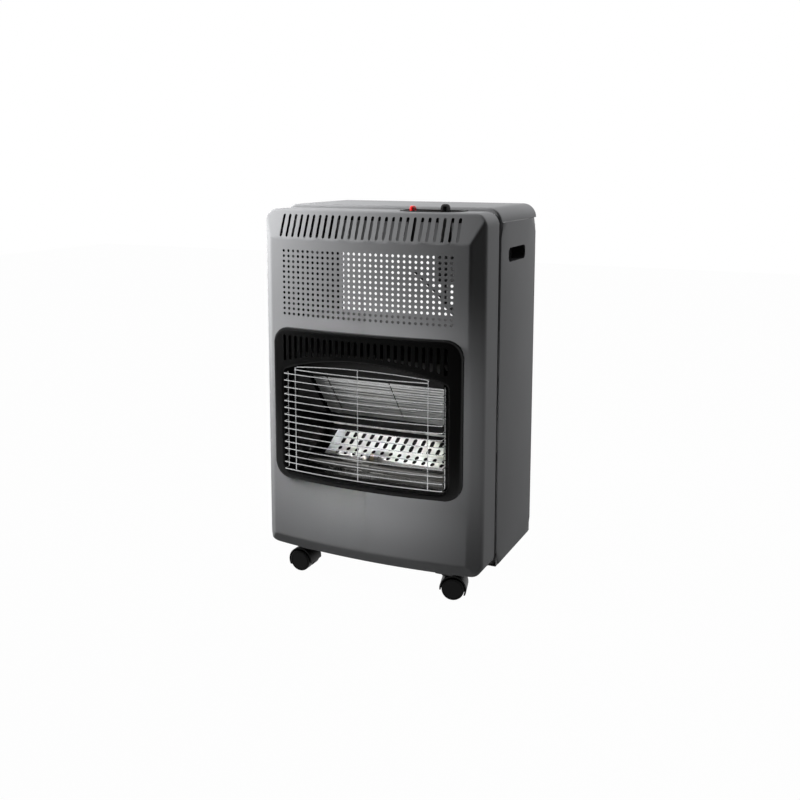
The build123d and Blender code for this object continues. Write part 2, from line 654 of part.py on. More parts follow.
def socket_screws():
    """Screws through the tray floor into the caster sockets."""
    screws = []
    for x, y in socket_screw_places():
        shank = upright(SCREW_R, x, y, SOCKET_LOW + SEAT, TRAY_FLOOR)
        screws.append(shank + upright(SCREW_HEAD_R, x, y, TRAY_FLOOR, TRAY_FLOOR + SCREW_HEAD_H))
    return screws


# ---------------------------------------------------------------- bezel and guard
def opening_outline(grow):
    """The bezel's opening as seen from the front: straight sides and an arched top."""
    low = BEZEL_LOW + OPENING_LOW
    left_foot = (-OPENING_HALF_W, low)
    right_foot = (OPENING_HALF_W, low)
    left_top = (-OPENING_HALF_W, OPENING_ARCH_LOW)
    right_top = (OPENING_HALF_W, OPENING_ARCH_LOW)
    outline = make_face([
        Line(left_foot, right_foot),
        Line(right_foot, right_top),
        ThreePointArc(right_top, (0, OPENING_ARCH_HIGH), left_top),
        Line(left_top, left_foot),
    ])
    feet = outline.vertices().filter_by(lambda vertex: vertex.Y < low + 1)
    outline = fillet(feet, OPENING_LOWER_R)
    tops = outline.vertices().filter_by(
        lambda vertex: vertex.Y > OPENING_ARCH_LOW - 1 and abs(vertex.X) > OPENING_HALF_W - 1)
    outline = fillet(tops, OPENING_UPPER_R)
    return offset(outline, amount=grow) if grow else outline


def bezel_slot_bottom(x):
    """Height of a bezel slot's lower end, on the arch that the slots follow."""
    sag = BEZEL_SLOT_ARCH_R - math.sqrt(BEZEL_SLOT_ARCH_R**2 - x**2)
    return OPENING_ARCH_HIGH + BEZEL_SLOT_ARCH_TOP - sag


def bezel():
    """Glossy surround: a bowed shell on the panel, with a collar into the burner box."""
    def shell(inset):
        front_y = -BEZEL_PROUD + inset
        outline = rounded(2 * (BEZEL_HALF_W - inset), BEZEL_LOW + inset, BEZEL_HIGH - inset,
                          BEZEL_CORNER_R - inset)
        body = elevation(outline, -PIERCE_DEPTH, PIERCE_DEPTH)
        body &= bowed(BEZEL_BOW_R - inset, front_y, 0, HEIGHT)
        rim = body.edges().filter_by(lambda edge: edge.bounding_box().max.Y < PIERCE_DEPTH - 1)
        body = fillet(rim, BEZEL_EDGE_R - inset)
        return body - bowed(PANEL_R + SEAT, -SEAT, 0, HEIGHT)

    opening = opening_outline(0)
    collar_outline = opening_outline(BEZEL_WALL)
    piece = shell(0) - shell(BEZEL_WALL)
    collar = elevation(collar_outline, -PIERCE_DEPTH, COLLAR_DEPTH)
    collar &= bowed(BEZEL_BOW_R - BEZEL_WALL / 2, BEZEL_WALL / 2 - BEZEL_PROUD, 0, HEIGHT)
    piece += collar
    piece -= elevation(opening, -PIERCE_DEPTH, PIERCE_DEPTH)
    top = BEZEL_HIGH - BEZEL_SLOT_TOP
    slots = Sketch()
    for place in GridLocations(BEZEL_SLOT_PITCH, 1, BEZEL_SLOTS, 1):
        x = place.position.X
        low = bezel_slot_bottom(x)
        slots += Pos(x, (low + top) / 2) * Rot(0, 0, 90) * SlotOverall(top - low, BEZEL_SLOT_WIDTH)
    return piece - elevation(slots, -PIERCE_DEPTH, PIERCE_DEPTH)


def guard_front_y(x):
    """Depth of the bowed front wires' axis at x."""
    return GUARD_BOW_R - math.sqrt(GUARD_BOW_R**2 - x**2) - GUARD_REACH


def guard_bow(z, back_y):
    """One full horizontal wire: bowed front, small bends, and ends that run back to back_y."""
    centre_y = GUARD_BOW_R - GUARD_REACH
    inner = GUARD_BOW_R - GUARD_BEND_R
    bend_x = GUARD_HALF_W - GUARD_BEND_R
    bend_y = centre_y - math.sqrt(inner**2 - bend_x**2)
    outward = Vector(bend_x, bend_y - centre_y).normalized()
    arc_end = Vector(0, centre_y) + outward * GUARD_BOW_R
    middle = (outward + Vector(1, 0)).normalized() * GUARD_BEND_R + Vector(bend_x, bend_y)

    def at(x, y):
        return (x, y, z)

    path = Wire([
        Line(at(-GUARD_HALF_W, back_y), at(-GUARD_HALF_W, bend_y)).edge(),
        ThreePointArc(at(-GUARD_HALF_W, bend_y), at(-middle.X, middle.Y),
                      at(-arc_end.X, arc_end.Y)).edge(),
        ThreePointArc(at(-arc_end.X, arc_end.Y), at(0, -GUARD_REACH),
                      at(arc_end.X, arc_end.Y)).edge(),
        ThreePointArc(at(arc_end.X, arc_end.Y), at(middle.X, middle.Y),
                      at(GUARD_HALF_W, bend_y)).edge(),
        Line(at(GUARD_HALF_W, bend_y), at(GUARD_HALF_W, back_y)).edge(),
    ])
    return sweep(Plane(at(-GUARD_HALF_W, back_y), z_dir=(0, -1, 0)) * Circle(WIRE_R), path=path)


def guard_upright(x, low, high):
    """A wire behind the front wires that bends back at its top to the arched wire."""
    lean = math.sqrt(1 - (x / GUARD_BOW_R)**2)
    y = guard_front_y(x) + (2 * WIRE_R + WIRE_GAP) / lean
    back = guard_front_y(x) + GUARD_ARCH_SETBACK - (WIRE_R + WIRE_GAP) / lean
    points = [(x, y, low), (x, y, high), (x, back, high)]
    path = FilletPolyline(*points, radius=GUARD_UPRIGHT_BEND_R)
    return sweep(Plane(points[0], z_dir=(0, 0, 1)) * Circle(WIRE_R), path=path)


def guard_arc_wire(setback, low_z, crown_z):
    """A short wire between the two outer uprights, arched upwards by crown_z - low_z."""
    x = GUARD_UPRIGHT_X
    start = Vector(-x, guard_front_y(x) + setback, low_z)
    middle = Vector(0, setback - GUARD_REACH, crown_z)
    end = Vector(x, guard_front_y(x) + setback, low_z)
    arc = ThreePointArc(start, middle, end)
    return sweep(Plane(start, z_dir=arc % 0) * Circle(WIRE_R), path=arc)


def guard():
    """The wire guard: each wire is a solid that ends at its welds."""
    side_y = GUARD_BACK_Y + WIRE_R
    back_y = GUARD_BACK_Y - WIRE_GAP
    wires = [guard_bow(GUARD_LOW + index * GUARD_PITCH, back_y) for index in range(GUARD_WIRES)]
    arch_z = GUARD_HIGH + GUARD_ARCH_RISE
    wires.append(guard_arc_wire(0, GUARD_HIGH + GUARD_SHORT_RISE, GUARD_HIGH + GUARD_SHORT_RISE))
    wires.append(guard_arc_wire(GUARD_ARCH_SETBACK, arch_z, arch_z + GUARD_ARCH_CROWN))
    for x, high in ((-GUARD_UPRIGHT_X, arch_z), (0, arch_z + GUARD_ARCH_CROWN),
                    (GUARD_UPRIGHT_X, arch_z)):
        wires.append(guard_upright(x, GUARD_LOW - WIRE_R, high))
    for side in (-1, 1):
        wires.append(upright(WIRE_R, side * GUARD_HALF_W, side_y,
                             GUARD_LOW - WIRE_R, GUARD_HIGH + WIRE_R))
    return wires


def guard_clips():
    """Four clips between the guard's side wires and the bezel's collar."""
    clips = []
    side_y = GUARD_BACK_Y + WIRE_R
    for side in (-1, 1):
        for z in CLIP_ZS:
            near = side * (GUARD_HALF_W - WIRE_R)
            far = side * (OPENING_HALF_W - SEAT)
            clip = block(min(near, far), max(near, far), side_y, side_y + CLIP_DEPTH,
                         z - CLIP_HEIGHT / 2, z + CLIP_HEIGHT / 2)
            clip -= upright(WIRE_R + HOLE_CLEARANCE, side * GUARD_HALF_W, side_y,
                            z - CLIP_HEIGHT, z + CLIP_HEIGHT)
            clips.append(clip)
    return clips


# ---------------------------------------------------------------- burner box
def burner_box():
    """Black housing behind the window, with four ears on the front frame."""
    box = block(-BOX_HALF_W, BOX_HALF_W, BOX_FRONT_Y, BOX_BACK_Y, BOX_LOW, BOX_HIGH)
    box -= block(-BOX_INNER_X, BOX_INNER_X, BOX_FRONT_Y - SHEET, BOX_BACK_Y - SHEET,
                 BOX_FLOOR, BOX_HIGH - SHEET)
    ear_end = HALF_W - PANEL_LIP - EAR_MARGIN
    for side in (-1, 1):
        for z in EAR_ZS:
            near = side * BOX_INNER_X
            far = side * ear_end
            box += block(min(near, far), max(near, far), PANEL_DEPTH - SHEET, PANEL_DEPTH,
                         z - EAR_HEIGHT / 2, z + EAR_HEIGHT / 2)
    wall = (BOX_INNER_X - SHEET, BOX_HALF_W + SHEET)
    box -= along_x(INJECTOR_R + HOLE_CLEARANCE, TUBE_Y, TUBE_Z, *wall)
    for radius, (y, z) in ((PILOT_PIPE_R, PILOT_PIPE_ENTRY), (PROBE_LEAD_R, PROBE_LEAD_ENTRY),
                           (SPARK_LEAD_R, SPARK_LEAD_ENTRY)):
        box -= along_x(radius + HOLE_CLEARANCE, y, z, *wall)
    return box


def roof_plate():
    """Sloping plate from above the opening down to the reflector, with a lip at its back."""
    top_y, top_z = REFLECTOR_TOP
    lip_z = top_z + SEAT + THIN_SHEET
    path = ((BOX_FRONT_Y + SHEET, ROOF_TOP_Z), (top_y, lip_z), (top_y + REFLECTOR_FLANGE, lip_z))
    points = [
        path[0], path[1], path[2],
        (path[2][0], lip_z - THIN_SHEET), (path[1][0], lip_z - THIN_SHEET),
        (path[0][0], ROOF_TOP_Z - THIN_SHEET),
    ]
    return profile(points, BOX_INNER_X - SEAT)


def reflector():
    """Ribbed sheet that slopes down and back, with a flange at each end and expansion slits."""
    top = Vector(*REFLECTOR_TOP)
    foot = Vector(*REFLECTOR_BACK)
    run = foot - top
    across = Vector(run.Y, -run.X).normalized()
    half_pitch = run.length / (2 * REFLECTOR_RIBS)
    depth = half_pitch * REFLECTOR_RIB_R_SHARE
    thickness = across * THIN_SHEET

    def ribs(shift):
        edges = []
        for index in range(2 * REFLECTOR_RIBS):
            start = top + run * (index / (2 * REFLECTOR_RIBS)) + shift
            end = top + run * ((index + 1) / (2 * REFLECTOR_RIBS)) + shift
            bulge = across * depth * (1 if index % 2 else -1)
            edges.append(ThreePointArc(start, (start + end) * 0.5 + bulge, end).edge())
        return edges

    outline = ribs(Vector(0, 0)) + ribs(thickness)
    outline.append(Line(top, top + thickness).edge())
    outline.append(Line(foot, foot + thickness).edge())
    sheet = extrude(Plane.YZ * make_face(outline), amount=REFLECTOR_HALF_W, both=True)
    half = REFLECTOR_HALF_W
    sheet += block(-half, half, top.X - THIN_SHEET, top.X + REFLECTOR_FLANGE,
                   top.Y - THIN_SHEET, top.Y)
    sheet += block(-half, half, foot.X - THIN_SHEET, BOX_BACK_Y - SHEET - SEAT,
                   foot.Y - THIN_SHEET, foot.Y)
    slit_top = top + run * REFLECTOR_SLIT_END
    slit_foot = foot - run * REFLECTOR_SLIT_END
    reach = across * REFLECTOR_SLIT_CUT
    for x in REFLECTOR_SLITS_X:
        band = [slit_top - reach, slit_foot - reach, slit_foot + reach, slit_top + reach]
        cutter = extrude(Plane((x, 0, 0), x_dir=(0, 1, 0), z_dir=(1, 0, 0))
                         * make_face(Polyline(*band, close=True)), amount=REFLECTOR_SLIT)
        sheet -= cutter
    return sheet


def side_shield():
    """Right-hand inner wall: a plate below the roof line, with flanges out to the box."""
    inner = BOX_INNER_X - SHIELD_STANDOFF
    top_y, top_z = REFLECTOR_TOP
    back_y, back_z = REFLECTOR_BACK
    front = BOX_FRONT_Y + SHEET + SEAT
    outline = make_face(Polyline(
        (front, SHIELD_LOW), (front, ROOF_TOP_Z - SHIELD_BELOW_ROOF),
        (top_y, top_z - SHIELD_BELOW_ROOF), (back_y - SHEET, back_z - SHIELD_BELOW_ROOF),
        (back_y - SHEET, SHIELD_LOW), close=True))
    plate = from_side(outline, inner, inner + THIN_SHEET)
    outer = BOX_INNER_X - SEAT
    plate += block(inner, outer, front, front + THIN_SHEET,
                   TROUGH_LIP_Z + THIN_SHEET + SHIELD_ABOVE_TROUGH,
                   ROOF_TOP_Z - 2 * SHIELD_BELOW_ROOF)
    plate += block(inner, outer, back_y - SHEET - THIN_SHEET, back_y - SHEET,
                   SHIELD_LOW, back_z - SHIELD_BELOW_ROOF)
    return plate


# ---------------------------------------------------------------- burner
def burner_body():
    """Gas chamber: a closed trough whose top follows the slotted plate, open under it."""
    back, low = BURNER_PROFILE[0][0], BOX_FLOOR + SEAT
    front = BURNER_PROFILE[-1][0]
    drop = BURNER_SHEET + SEAT
    top = [(y, z - drop) for y, z in BURNER_PROFILE]
    outer = profile([*top, (front, low), (back, low)], BURNER_HALF_W)
    lowered = [(y, z + drop) for y, z in top]
    cavity = [(back - BURNER_WALL, lowered[0][1]), *lowered[1:-1],
              (front + BURNER_WALL, lowered[-1][1]), (front + BURNER_WALL, low + BURNER_WALL),
              (back - BURNER_WALL, low + BURNER_WALL)]
    body = outer - profile(cavity, BURNER_HALF_W - BURNER_WALL)
    return body - along_y(STUB_R - TUBE_WALL, STUB_X, TUBE_Z - STUB_DROP, front - SHEET,
                          front + 2 * BURNER_WALL)


def burner_plate():
    """Two-step burner face with four rows of slots."""
    upper = list(BURNER_PROFILE)
    lower = [(y, z - BURNER_SHEET) for y, z in upper]
    plate = profile(upper + lower[::-1], BURNER_HALF_W)
    for y, is_rear in BURNER_SLOT_ROWS:
        (y0, z0), (y1, z1) = BURNER_REAR_STEP if is_rear else BURNER_FRONT_STEP
        z = z1 + (z0 - z1) * (y - y1) / (y0 - y1)
        length = BURNER_SLOT_LENGTH if is_rear else BURNER_FRONT_SLOT_LENGTH
        for place in GridLocations(BURNER_SLOT_PITCH, 1, BURNER_SLOTS, 1):
            slot = Box(BURNER_SLOT_WIDTH, length, BURNER_SLOT_CUT)
            plate -= Pos(place.position.X, y, z) * slot
    return plate


def mesh_strip():
    """Gauze strip that stands up behind the burner face."""
    back = BURNER_PROFILE[0][0] + SEAT
    low = BOX_FLOOR + SEAT
    return block(-MESH_HALF_W, MESH_HALF_W, back, back + THIN_SHEET, low, MESH_TOP)


def trough():
    """Curved bright sheet under the burner tube, from the burner's front up to the front lip."""
    back = BURNER_PROFILE[-1][0] - SEAT
    top = BURNER_PROFILE[-1][1] - 2 * BURNER_SHEET
    low = BOX_FLOOR + SEAT
    radius = TROUGH_CURVE_R
    front = BOX_FRONT_Y + SHEET + SEAT
    lip = front + THIN_SHEET

    def outline(inset):
        inner = radius - inset
        floor = low + inset
        return [
            Line((back - inset, top), (back - inset, low + radius)).edge(),
            RadiusArc((back - inset, low + radius), (back - radius, floor), inner).edge(),
            Line((back - radius, floor), (lip + TROUGH_SLOPE, floor)).edge(),
            Line((lip + TROUGH_SLOPE, floor), (lip, TROUGH_LIP_Z + inset)).edge(),
        ]

    edges = outline(0) + outline(THIN_SHEET)
    edges.append(Line((back, top), (back - THIN_SHEET, top)).edge())
    edges.append(Line((lip, TROUGH_LIP_Z), (lip, TROUGH_LIP_Z + THIN_SHEET)).edge())
    sheet = extrude(Plane.YZ * make_face(edges), amount=TROUGH_HALF_W, both=True)
    return sheet - along_y(STUB_R + HOLE_CLEARANCE, STUB_X, TUBE_Z - STUB_DROP, TUBE_Y,
                           back + SHEET)


def burner_tube():
    """Mixing tube across the front of the burner, with a stub into the gas chamber."""
    right = BOX_INNER_X - SEAT
    stub_z = TUBE_Z - STUB_DROP
    front = BURNER_PROFILE[-1][0] - SEAT
    tube = along_x(TUBE_R, TUBE_Y, TUBE_Z, TUBE_LEFT_X, right)
    tube += along_y(STUB_R, STUB_X, stub_z, TUBE_Y, front)
    tube -= along_x(TUBE_R - TUBE_WALL, TUBE_Y, TUBE_Z, TUBE_LEFT_X + TUBE_WALL, right + SHEET)
    return tube - along_y(STUB_R - TUBE_WALL, STUB_X, stub_z, TUBE_Y, front + SHEET)


def injector():
    """Gas jet: a hexagon outside the box wall and a nose inside the mixing tube."""
    outer = BOX_HALF_W + SEAT
    nose = along_x(INJECTOR_R, TUBE_Y, TUBE_Z, BOX_INNER_X - 3 * TUBE_R, outer)
    head = Plane((outer, TUBE_Y, TUBE_Z), x_dir=(0, 1, 0), z_dir=(1, 0, 0)) * hexagon(
        2 * INJECTOR_HEX_R)
    jet = nose + extrude(head, amount=INJECTOR_HEX_L)
    return jet - along_x(HOSE_BORE_R, TUBE_Y, TUBE_Z, 0, outer + INJECTOR_HEX_L / 2)


# ---------------------------------------------------------------- pilot light
PILOT_PLATE_Z = TUBE_Z + TUBE_R + PILOT_CLAMP_T
PROBE_X = PILOT_X + PILOT_PITCH
SPARK_X = PILOT_X - PILOT_PITCH
PILOT_ITEM_LOW = PILOT_PLATE_Z - PILOT_BELOW
PILOT_PIPE_ENTRY = (PILOT_Y + PILOT_PIPE_AT[0], BOX_FLOOR + PILOT_PIPE_AT[1])
PROBE_LEAD_ENTRY = (PILOT_Y + PROBE_LEAD_AT[0], BOX_FLOOR + PROBE_LEAD_AT[1])
SPARK_LEAD_ENTRY = (PILOT_Y + SPARK_LEAD_AT[0], BOX_FLOOR + SPARK_LEAD_AT[1])


def pilot_item(x, radius, tip_radius):
    """One round item through the pilot plate, with a collar that rests on it."""
    item = upright(radius, x, PILOT_Y, PILOT_ITEM_LOW, PILOT_PLATE_Z + PILOT_ABOVE / 2)
    item += upright(PILOT_COLLAR_R, x, PILOT_Y, PILOT_PLATE_Z + PILOT_PLATE_T + SEAT,
                    PILOT_PLATE_Z + PILOT_PLATE_T + SEAT + PILOT_COLLAR_H)
    return item + upright(tip_radius, x, PILOT_Y, PILOT_PLATE_Z, PILOT_PLATE_Z + PILOT_ABOVE)


def pilot_bracket():
    """Clamp round the mixing tube with a plate that carries the pilot light."""
    clamp_r = TUBE_R + HOLE_CLEARANCE
    clamp = along_x(clamp_r + PILOT_CLAMP_T, TUBE_Y, TUBE_Z,
                    PILOT_X - PILOT_CLAMP_W / 2, PILOT_X + PILOT_CLAMP_W / 2)
    reach = PILOT_PITCH + PILOT_COLLAR_R + 1
    clamp += block(PILOT_X - reach, PILOT_X + reach, TUBE_Y, PILOT_Y + PILOT_COLLAR_R + 1,
                   PILOT_PLATE_Z, PILOT_PLATE_Z + PILOT_PLATE_T)
    clamp -= along_x(clamp_r, TUBE_Y, TUBE_Z, -WIDTH, WIDTH)
    for x in (PILOT_X, PROBE_X, SPARK_X):
        clamp -= upright(PILOT_R + HOLE_CLEARANCE, x, PILOT_Y,
                         PILOT_PLATE_Z - SHEET, PILOT_PLATE_Z + 2 * PILOT_PLATE_T)
    return clamp


def pilot_burner():
    """Brass pilot burner."""
    return pilot_item(PILOT_X, PILOT_R, PILOT_R)


def spark_electrode():
    """Ceramic electrode with its pin."""
    return pilot_item(SPARK_X, PILOT_R, PILOT_R / 3)


def thermocouple():
    """Flame-failure probe."""
    return pilot_item(PROBE_X, PILOT_R, PILOT_R / 2)


# ---------------------------------------------------------------- controls
def plate_outline(grow, z0, z1):
    """The control plate's outline, grown or shrunk, as a solid between two heights."""
    left, right = PLATE_LEFT - grow, PLATE_RIGHT + grow
    front = PLATE_FRONT_Y - grow
    rear = PANEL_DEPTH - PLATE_REAR_MARGIN + grow
    sketch = Pos((left + right) / 2, (front + rear) / 2) * Rectangle(right - left, rear - front)
    front_corners = sketch.vertices().filter_by(lambda vertex: vertex.Y < front + 1)
    sketch = fillet(front_corners, PLATE_CORNER_R + grow)
    return extrude(Plane.XY.offset(z0) * sketch, amount=z1 - z0)


def control_plate():
    """Black dished plate in the rim, with holes for the valve neck and the igniter."""
    plate = plate_outline(0, RIM_Z + SEAT, RIM_Z + SEAT + PLATE_FLANGE_T)
    plate += plate_outline(-PLATE_LAP, DISH_LOW, RIM_Z + SEAT)
    plate -= plate_outline(-PLATE_LAP - PLATE_WALL, DISH_FLOOR, HEIGHT)
    plate -= upright(VALVE_NECK_R + HOLE_CLEARANCE, KNOB_X, CONTROL_Y, DISH_LOW - 1, HEIGHT)
    return plate - upright(PIEZO_R + HOLE_CLEARANCE, BUTTON_X, CONTROL_Y, DISH_LOW - 1, HEIGHT)


def gas_valve():
    """Valve body that hangs from the control plate by its threaded neck."""
    width, depth, height = VALVE_SIZE
    x0, y0 = KNOB_X - width / 2, CONTROL_Y - depth / 2
    high = VALVE_LOW + height
    valve = block(x0, x0 + width, y0, y0 + depth, VALVE_LOW, high)
    valve += upright(VALVE_COLLAR_R, KNOB_X, CONTROL_Y, high - VALVE_COLLAR_H, high)
    valve += upright(VALVE_NECK_LOWER_R, KNOB_X, CONTROL_Y, high, VALVE_SHOULDER)
    neck_top = DISH_FLOOR + SEAT + VALVE_NUT_H
    valve += upright(VALVE_NECK_R, KNOB_X, CONTROL_Y, VALVE_SHOULDER, neck_top)
    return valve - upright(SPINDLE_R + RUNNING, KNOB_X, CONTROL_Y, high, neck_top + SHEET)


def valve_nut():
    """Nut on the valve's neck, on the dish floor."""
    low = DISH_FLOOR + SEAT
    nut = extrude(Plane((KNOB_X, CONTROL_Y, low)) * hexagon(VALVE_NUT_AF), amount=VALVE_NUT_H)
    return nut - upright(VALVE_NECK_R + HOLE_CLEARANCE, KNOB_X, CONTROL_Y, low - 1, HEIGHT)


def spindle_flat(radius, flat, z0, z1):
    """The part of a round spindle that its flat takes away, as a cutter."""
    return block(KNOB_X - 2 * radius, KNOB_X + 2 * radius, CONTROL_Y - 2 * radius,
                 CONTROL_Y - radius + flat, z0, z1)


def valve_stem():
    """Turning spindle of the valve, with a flat for the knob."""
    low = VALVE_LOW + VALVE_SIZE[2] + BORE_END_GAP
    high = KNOB_TOP - KNOB_WALL - KNOB_PUSH - KNOB_PLAY
    stem = upright(SPINDLE_R, KNOB_X, CONTROL_Y, low, high)
    flat_low = KNOB_LOW - KNOB_PUSH
    return stem - spindle_flat(SPINDLE_R, SPINDLE_FLAT, flat_low, high + 1)


def knob():
    """Round domed control knob, on the spindle's flat."""
    body = upright(KNOB_R, KNOB_X, CONTROL_Y, KNOB_LOW, KNOB_TOP)
    crown = body.edges().filter_by(lambda edge: edge.center().Z > KNOB_TOP - 1
                                   and edge.geom_type == GeomType.CIRCLE)
    body = fillet(crown, KNOB_CROWN_R)
    bore_r = SPINDLE_R + RUNNING
    bore_top = KNOB_TOP - KNOB_WALL
    bore = upright(bore_r, KNOB_X, CONTROL_Y, KNOB_LOW - 1, bore_top)
    bore -= spindle_flat(bore_r, SPINDLE_FLAT - RUNNING, KNOB_LOW - 1, bore_top)
    return body - bore


def piezo_igniter():
    """Igniter body in the control plate, with a bore for its button and a terminal below."""
    flange_low = DISH_FLOOR + SEAT
    body = upright(PIEZO_R, BUTTON_X, CONTROL_Y, PIEZO_LOW, flange_low + PIEZO_FLANGE_T)
    body += upright(PIEZO_FLANGE_R, BUTTON_X, CONTROL_Y, flange_low, flange_low + PIEZO_FLANGE_T)
    body += upright(TERMINAL_R, BUTTON_X, CONTROL_Y, PIEZO_LOW - TERMINAL_L, PIEZO_LOW)
    bore_low = BUTTON_LOW - BUTTON_PUSH - BORE_END_GAP
    return body - upright(BUTTON_R + RUNNING, BUTTON_X, CONTROL_Y, bore_low, HEIGHT)


def piezo_nut():
    """Nut under the control plate."""
    high = DISH_LOW - SEAT
    place = Plane((BUTTON_X, CONTROL_Y, high - PIEZO_NUT_H))
    nut = extrude(place * hexagon(PIEZO_NUT_AF), amount=PIEZO_NUT_H)
    return nut - upright(PIEZO_R + HOLE_CLEARANCE, BUTTON_X, CONTROL_Y, 0, HEIGHT)


def igniter_button():
    """Red push button."""
    button = upright(BUTTON_R, BUTTON_X, CONTROL_Y, BUTTON_LOW, BUTTON_TOP)
    crown = button.edges().filter_by(lambda edge: edge.center().Z > BUTTON_TOP - 1
                                     and edge.geom_type == GeomType.CIRCLE)
    return fillet(crown, BUTTON_EDGE_R)


# ---------------------------------------------------------------- gas inlet, pipes and leads
def hose_tail():
    """Inlet at the back of the valve: a hexagon and a plain spigot for the gas hose."""
    start = CONTROL_Y + VALVE_SIZE[1] / 2
    z = VALVE_LOW + HOSE_HEX_AF / 2
    head = Plane((KNOB_X, start, z), x_dir=(1, 0, 0), z_dir=(0, 1, 0)) * hexagon(HOSE_HEX_AF)
    hexed = start + HOSE_HEX_L
    tail = extrude(head, amount=HOSE_HEX_L)
    tail += along_y(HOSE_SPIGOT_R, KNOB_X, z, hexed, hexed + HOSE_SPIGOT_L)
    return tail - along_y(HOSE_BORE_R, KNOB_X, z, start + HOSE_HEX_L / 2,
                          hexed + HOSE_SPIGOT_L + SHEET)


def gas_pipe():
    """Main gas pipe from the valve's lower end to the injector."""
    end_x = BOX_HALF_W + SEAT + INJECTOR_HEX_L
    low_x = end_x + GAS_PIPE_BENDS[-1] + GAS_PIPE_END_RUN
    points = [
        (KNOB_X, CONTROL_Y, VALVE_LOW),
        (KNOB_X, CONTROL_Y, VALVE_LOW - GAS_PIPE_DROP),
        (low_x, TUBE_Y, BOX_HIGH - GAS_PIPE_UPRIGHT_LOW),
        (low_x, TUBE_Y, TUBE_Z),
        (end_x, TUBE_Y, TUBE_Z),
    ]
    return pipe(GAS_PIPE_R, points, GAS_PIPE_BENDS)


def burner_lead(radius, port_y, upright_x, turn_z, entry, end_x):
    """A thin pipe from the valve's side down to one of the pilot light's items."""
    y, z = entry
    port = VALVE_LOW + PORT_OFFSET_Z
    reach, rise = PILOT_PIPE_END
    points = [
        (KNOB_X + VALVE_SIZE[0] / 2, port_y, port),
        (upright_x, port_y, port),
        (upright_x, y, turn_z),
        (upright_x, y, z),
        (end_x + reach, y, z),
        (end_x, PILOT_Y, z + rise),
        (end_x, PILOT_Y, PILOT_ITEM_LOW),
    ]
    return pipe(radius, points, THIN_PIPE_BENDS)


def pilot_pipe():
    """Thin pipe from the valve's side to the pilot burner."""
    return burner_lead(PILOT_PIPE_R, CONTROL_Y - PORT_OFFSET_Y, PILOT_PIPE_X,
                       BOX_HIGH + PILOT_PIPE_TURN, PILOT_PIPE_ENTRY, PILOT_X)


def thermocouple_lead():
    """Probe lead from the valve's side to the thermocouple."""
    return burner_lead(PROBE_LEAD_R, CONTROL_Y + PORT_OFFSET_Y, PROBE_LEAD_X,
                       BOX_HIGH + PROBE_LEAD_TURN, PROBE_LEAD_ENTRY, PROBE_X)


def ignition_lead():
    """Spark lead, tight from the igniter to the electrode."""
    y, z = SPARK_LEAD_ENTRY
    terminal = PIEZO_LOW - TERMINAL_L
    reach, rise = SPARK_LEAD_END
    points = [
        (BUTTON_X, CONTROL_Y, terminal),
        (BUTTON_X, CONTROL_Y, terminal - SPARK_LEAD_DROP),
        (SPARK_LEAD_X, y, BOX_HIGH - SPARK_LEAD_TURN),
        (SPARK_LEAD_X, y, z),
        (SPARK_X + reach, y, z),
        (SPARK_X, PILOT_Y, z + rise),
        (SPARK_X, PILOT_Y, PILOT_ITEM_LOW),
    ]
    return pipe(SPARK_LEAD_R, points, SPARK_LEAD_BENDS)


# ---------------------------------------------------------------- casters
def caster_places():
    """Stem axis of each caster."""
    rear_y = BODY_DEPTH - CASTER_REAR_INSET
    return {
        "caster_front_left": (-CASTER_X, CASTER_FRONT_Y),
        "caster_front_right": (CASTER_X, CASTER_FRONT_Y),
        "caster_rear_left": (-CASTER_X, rear_y),
        "caster_rear_right": (CASTER_X, rear_y),
    }


# where each caster's wheels trail, in degrees from +X
CASTER_HEADINGS = {
    "caster_front_left": 180.0,
    "caster_front_right": 15.0,
    "caster_rear_left": 90.0,
    "caster_rear_right": 90.0,
}


def caster_sockets():
    """Four flanged sockets under the tray."""
    sockets = []
    for x, y in caster_places().values():
        flange = Pos(x, y) * RectangleRounded(SOCKET_SIZE, SOCKET_SIZE, SCREW_HEAD_R)
        socket = extrude(Plane.XY.offset(SOCKET_LOW) * flange, amount=SOCKET_FLANGE)
        socket += upright(SOCKET_BOSS_R, x, y, SOCKET_LOW, TRAY_FLOOR + SOCKET_BOSS_H)
        socket -= upright(STEM_R + RUNNING, x, y, 0, TRAY_FLOOR + SOCKET_BOSS_H - SOCKET_CAP)
        sockets.append(socket)
    for x, y in socket_screw_places():
        for index, socket in enumerate(sockets):
            sockets[index] = socket - upright(SCREW_R + HOLE_CLEARANCE, x, y, 0, TRAY_LOW + 1)
    return sockets


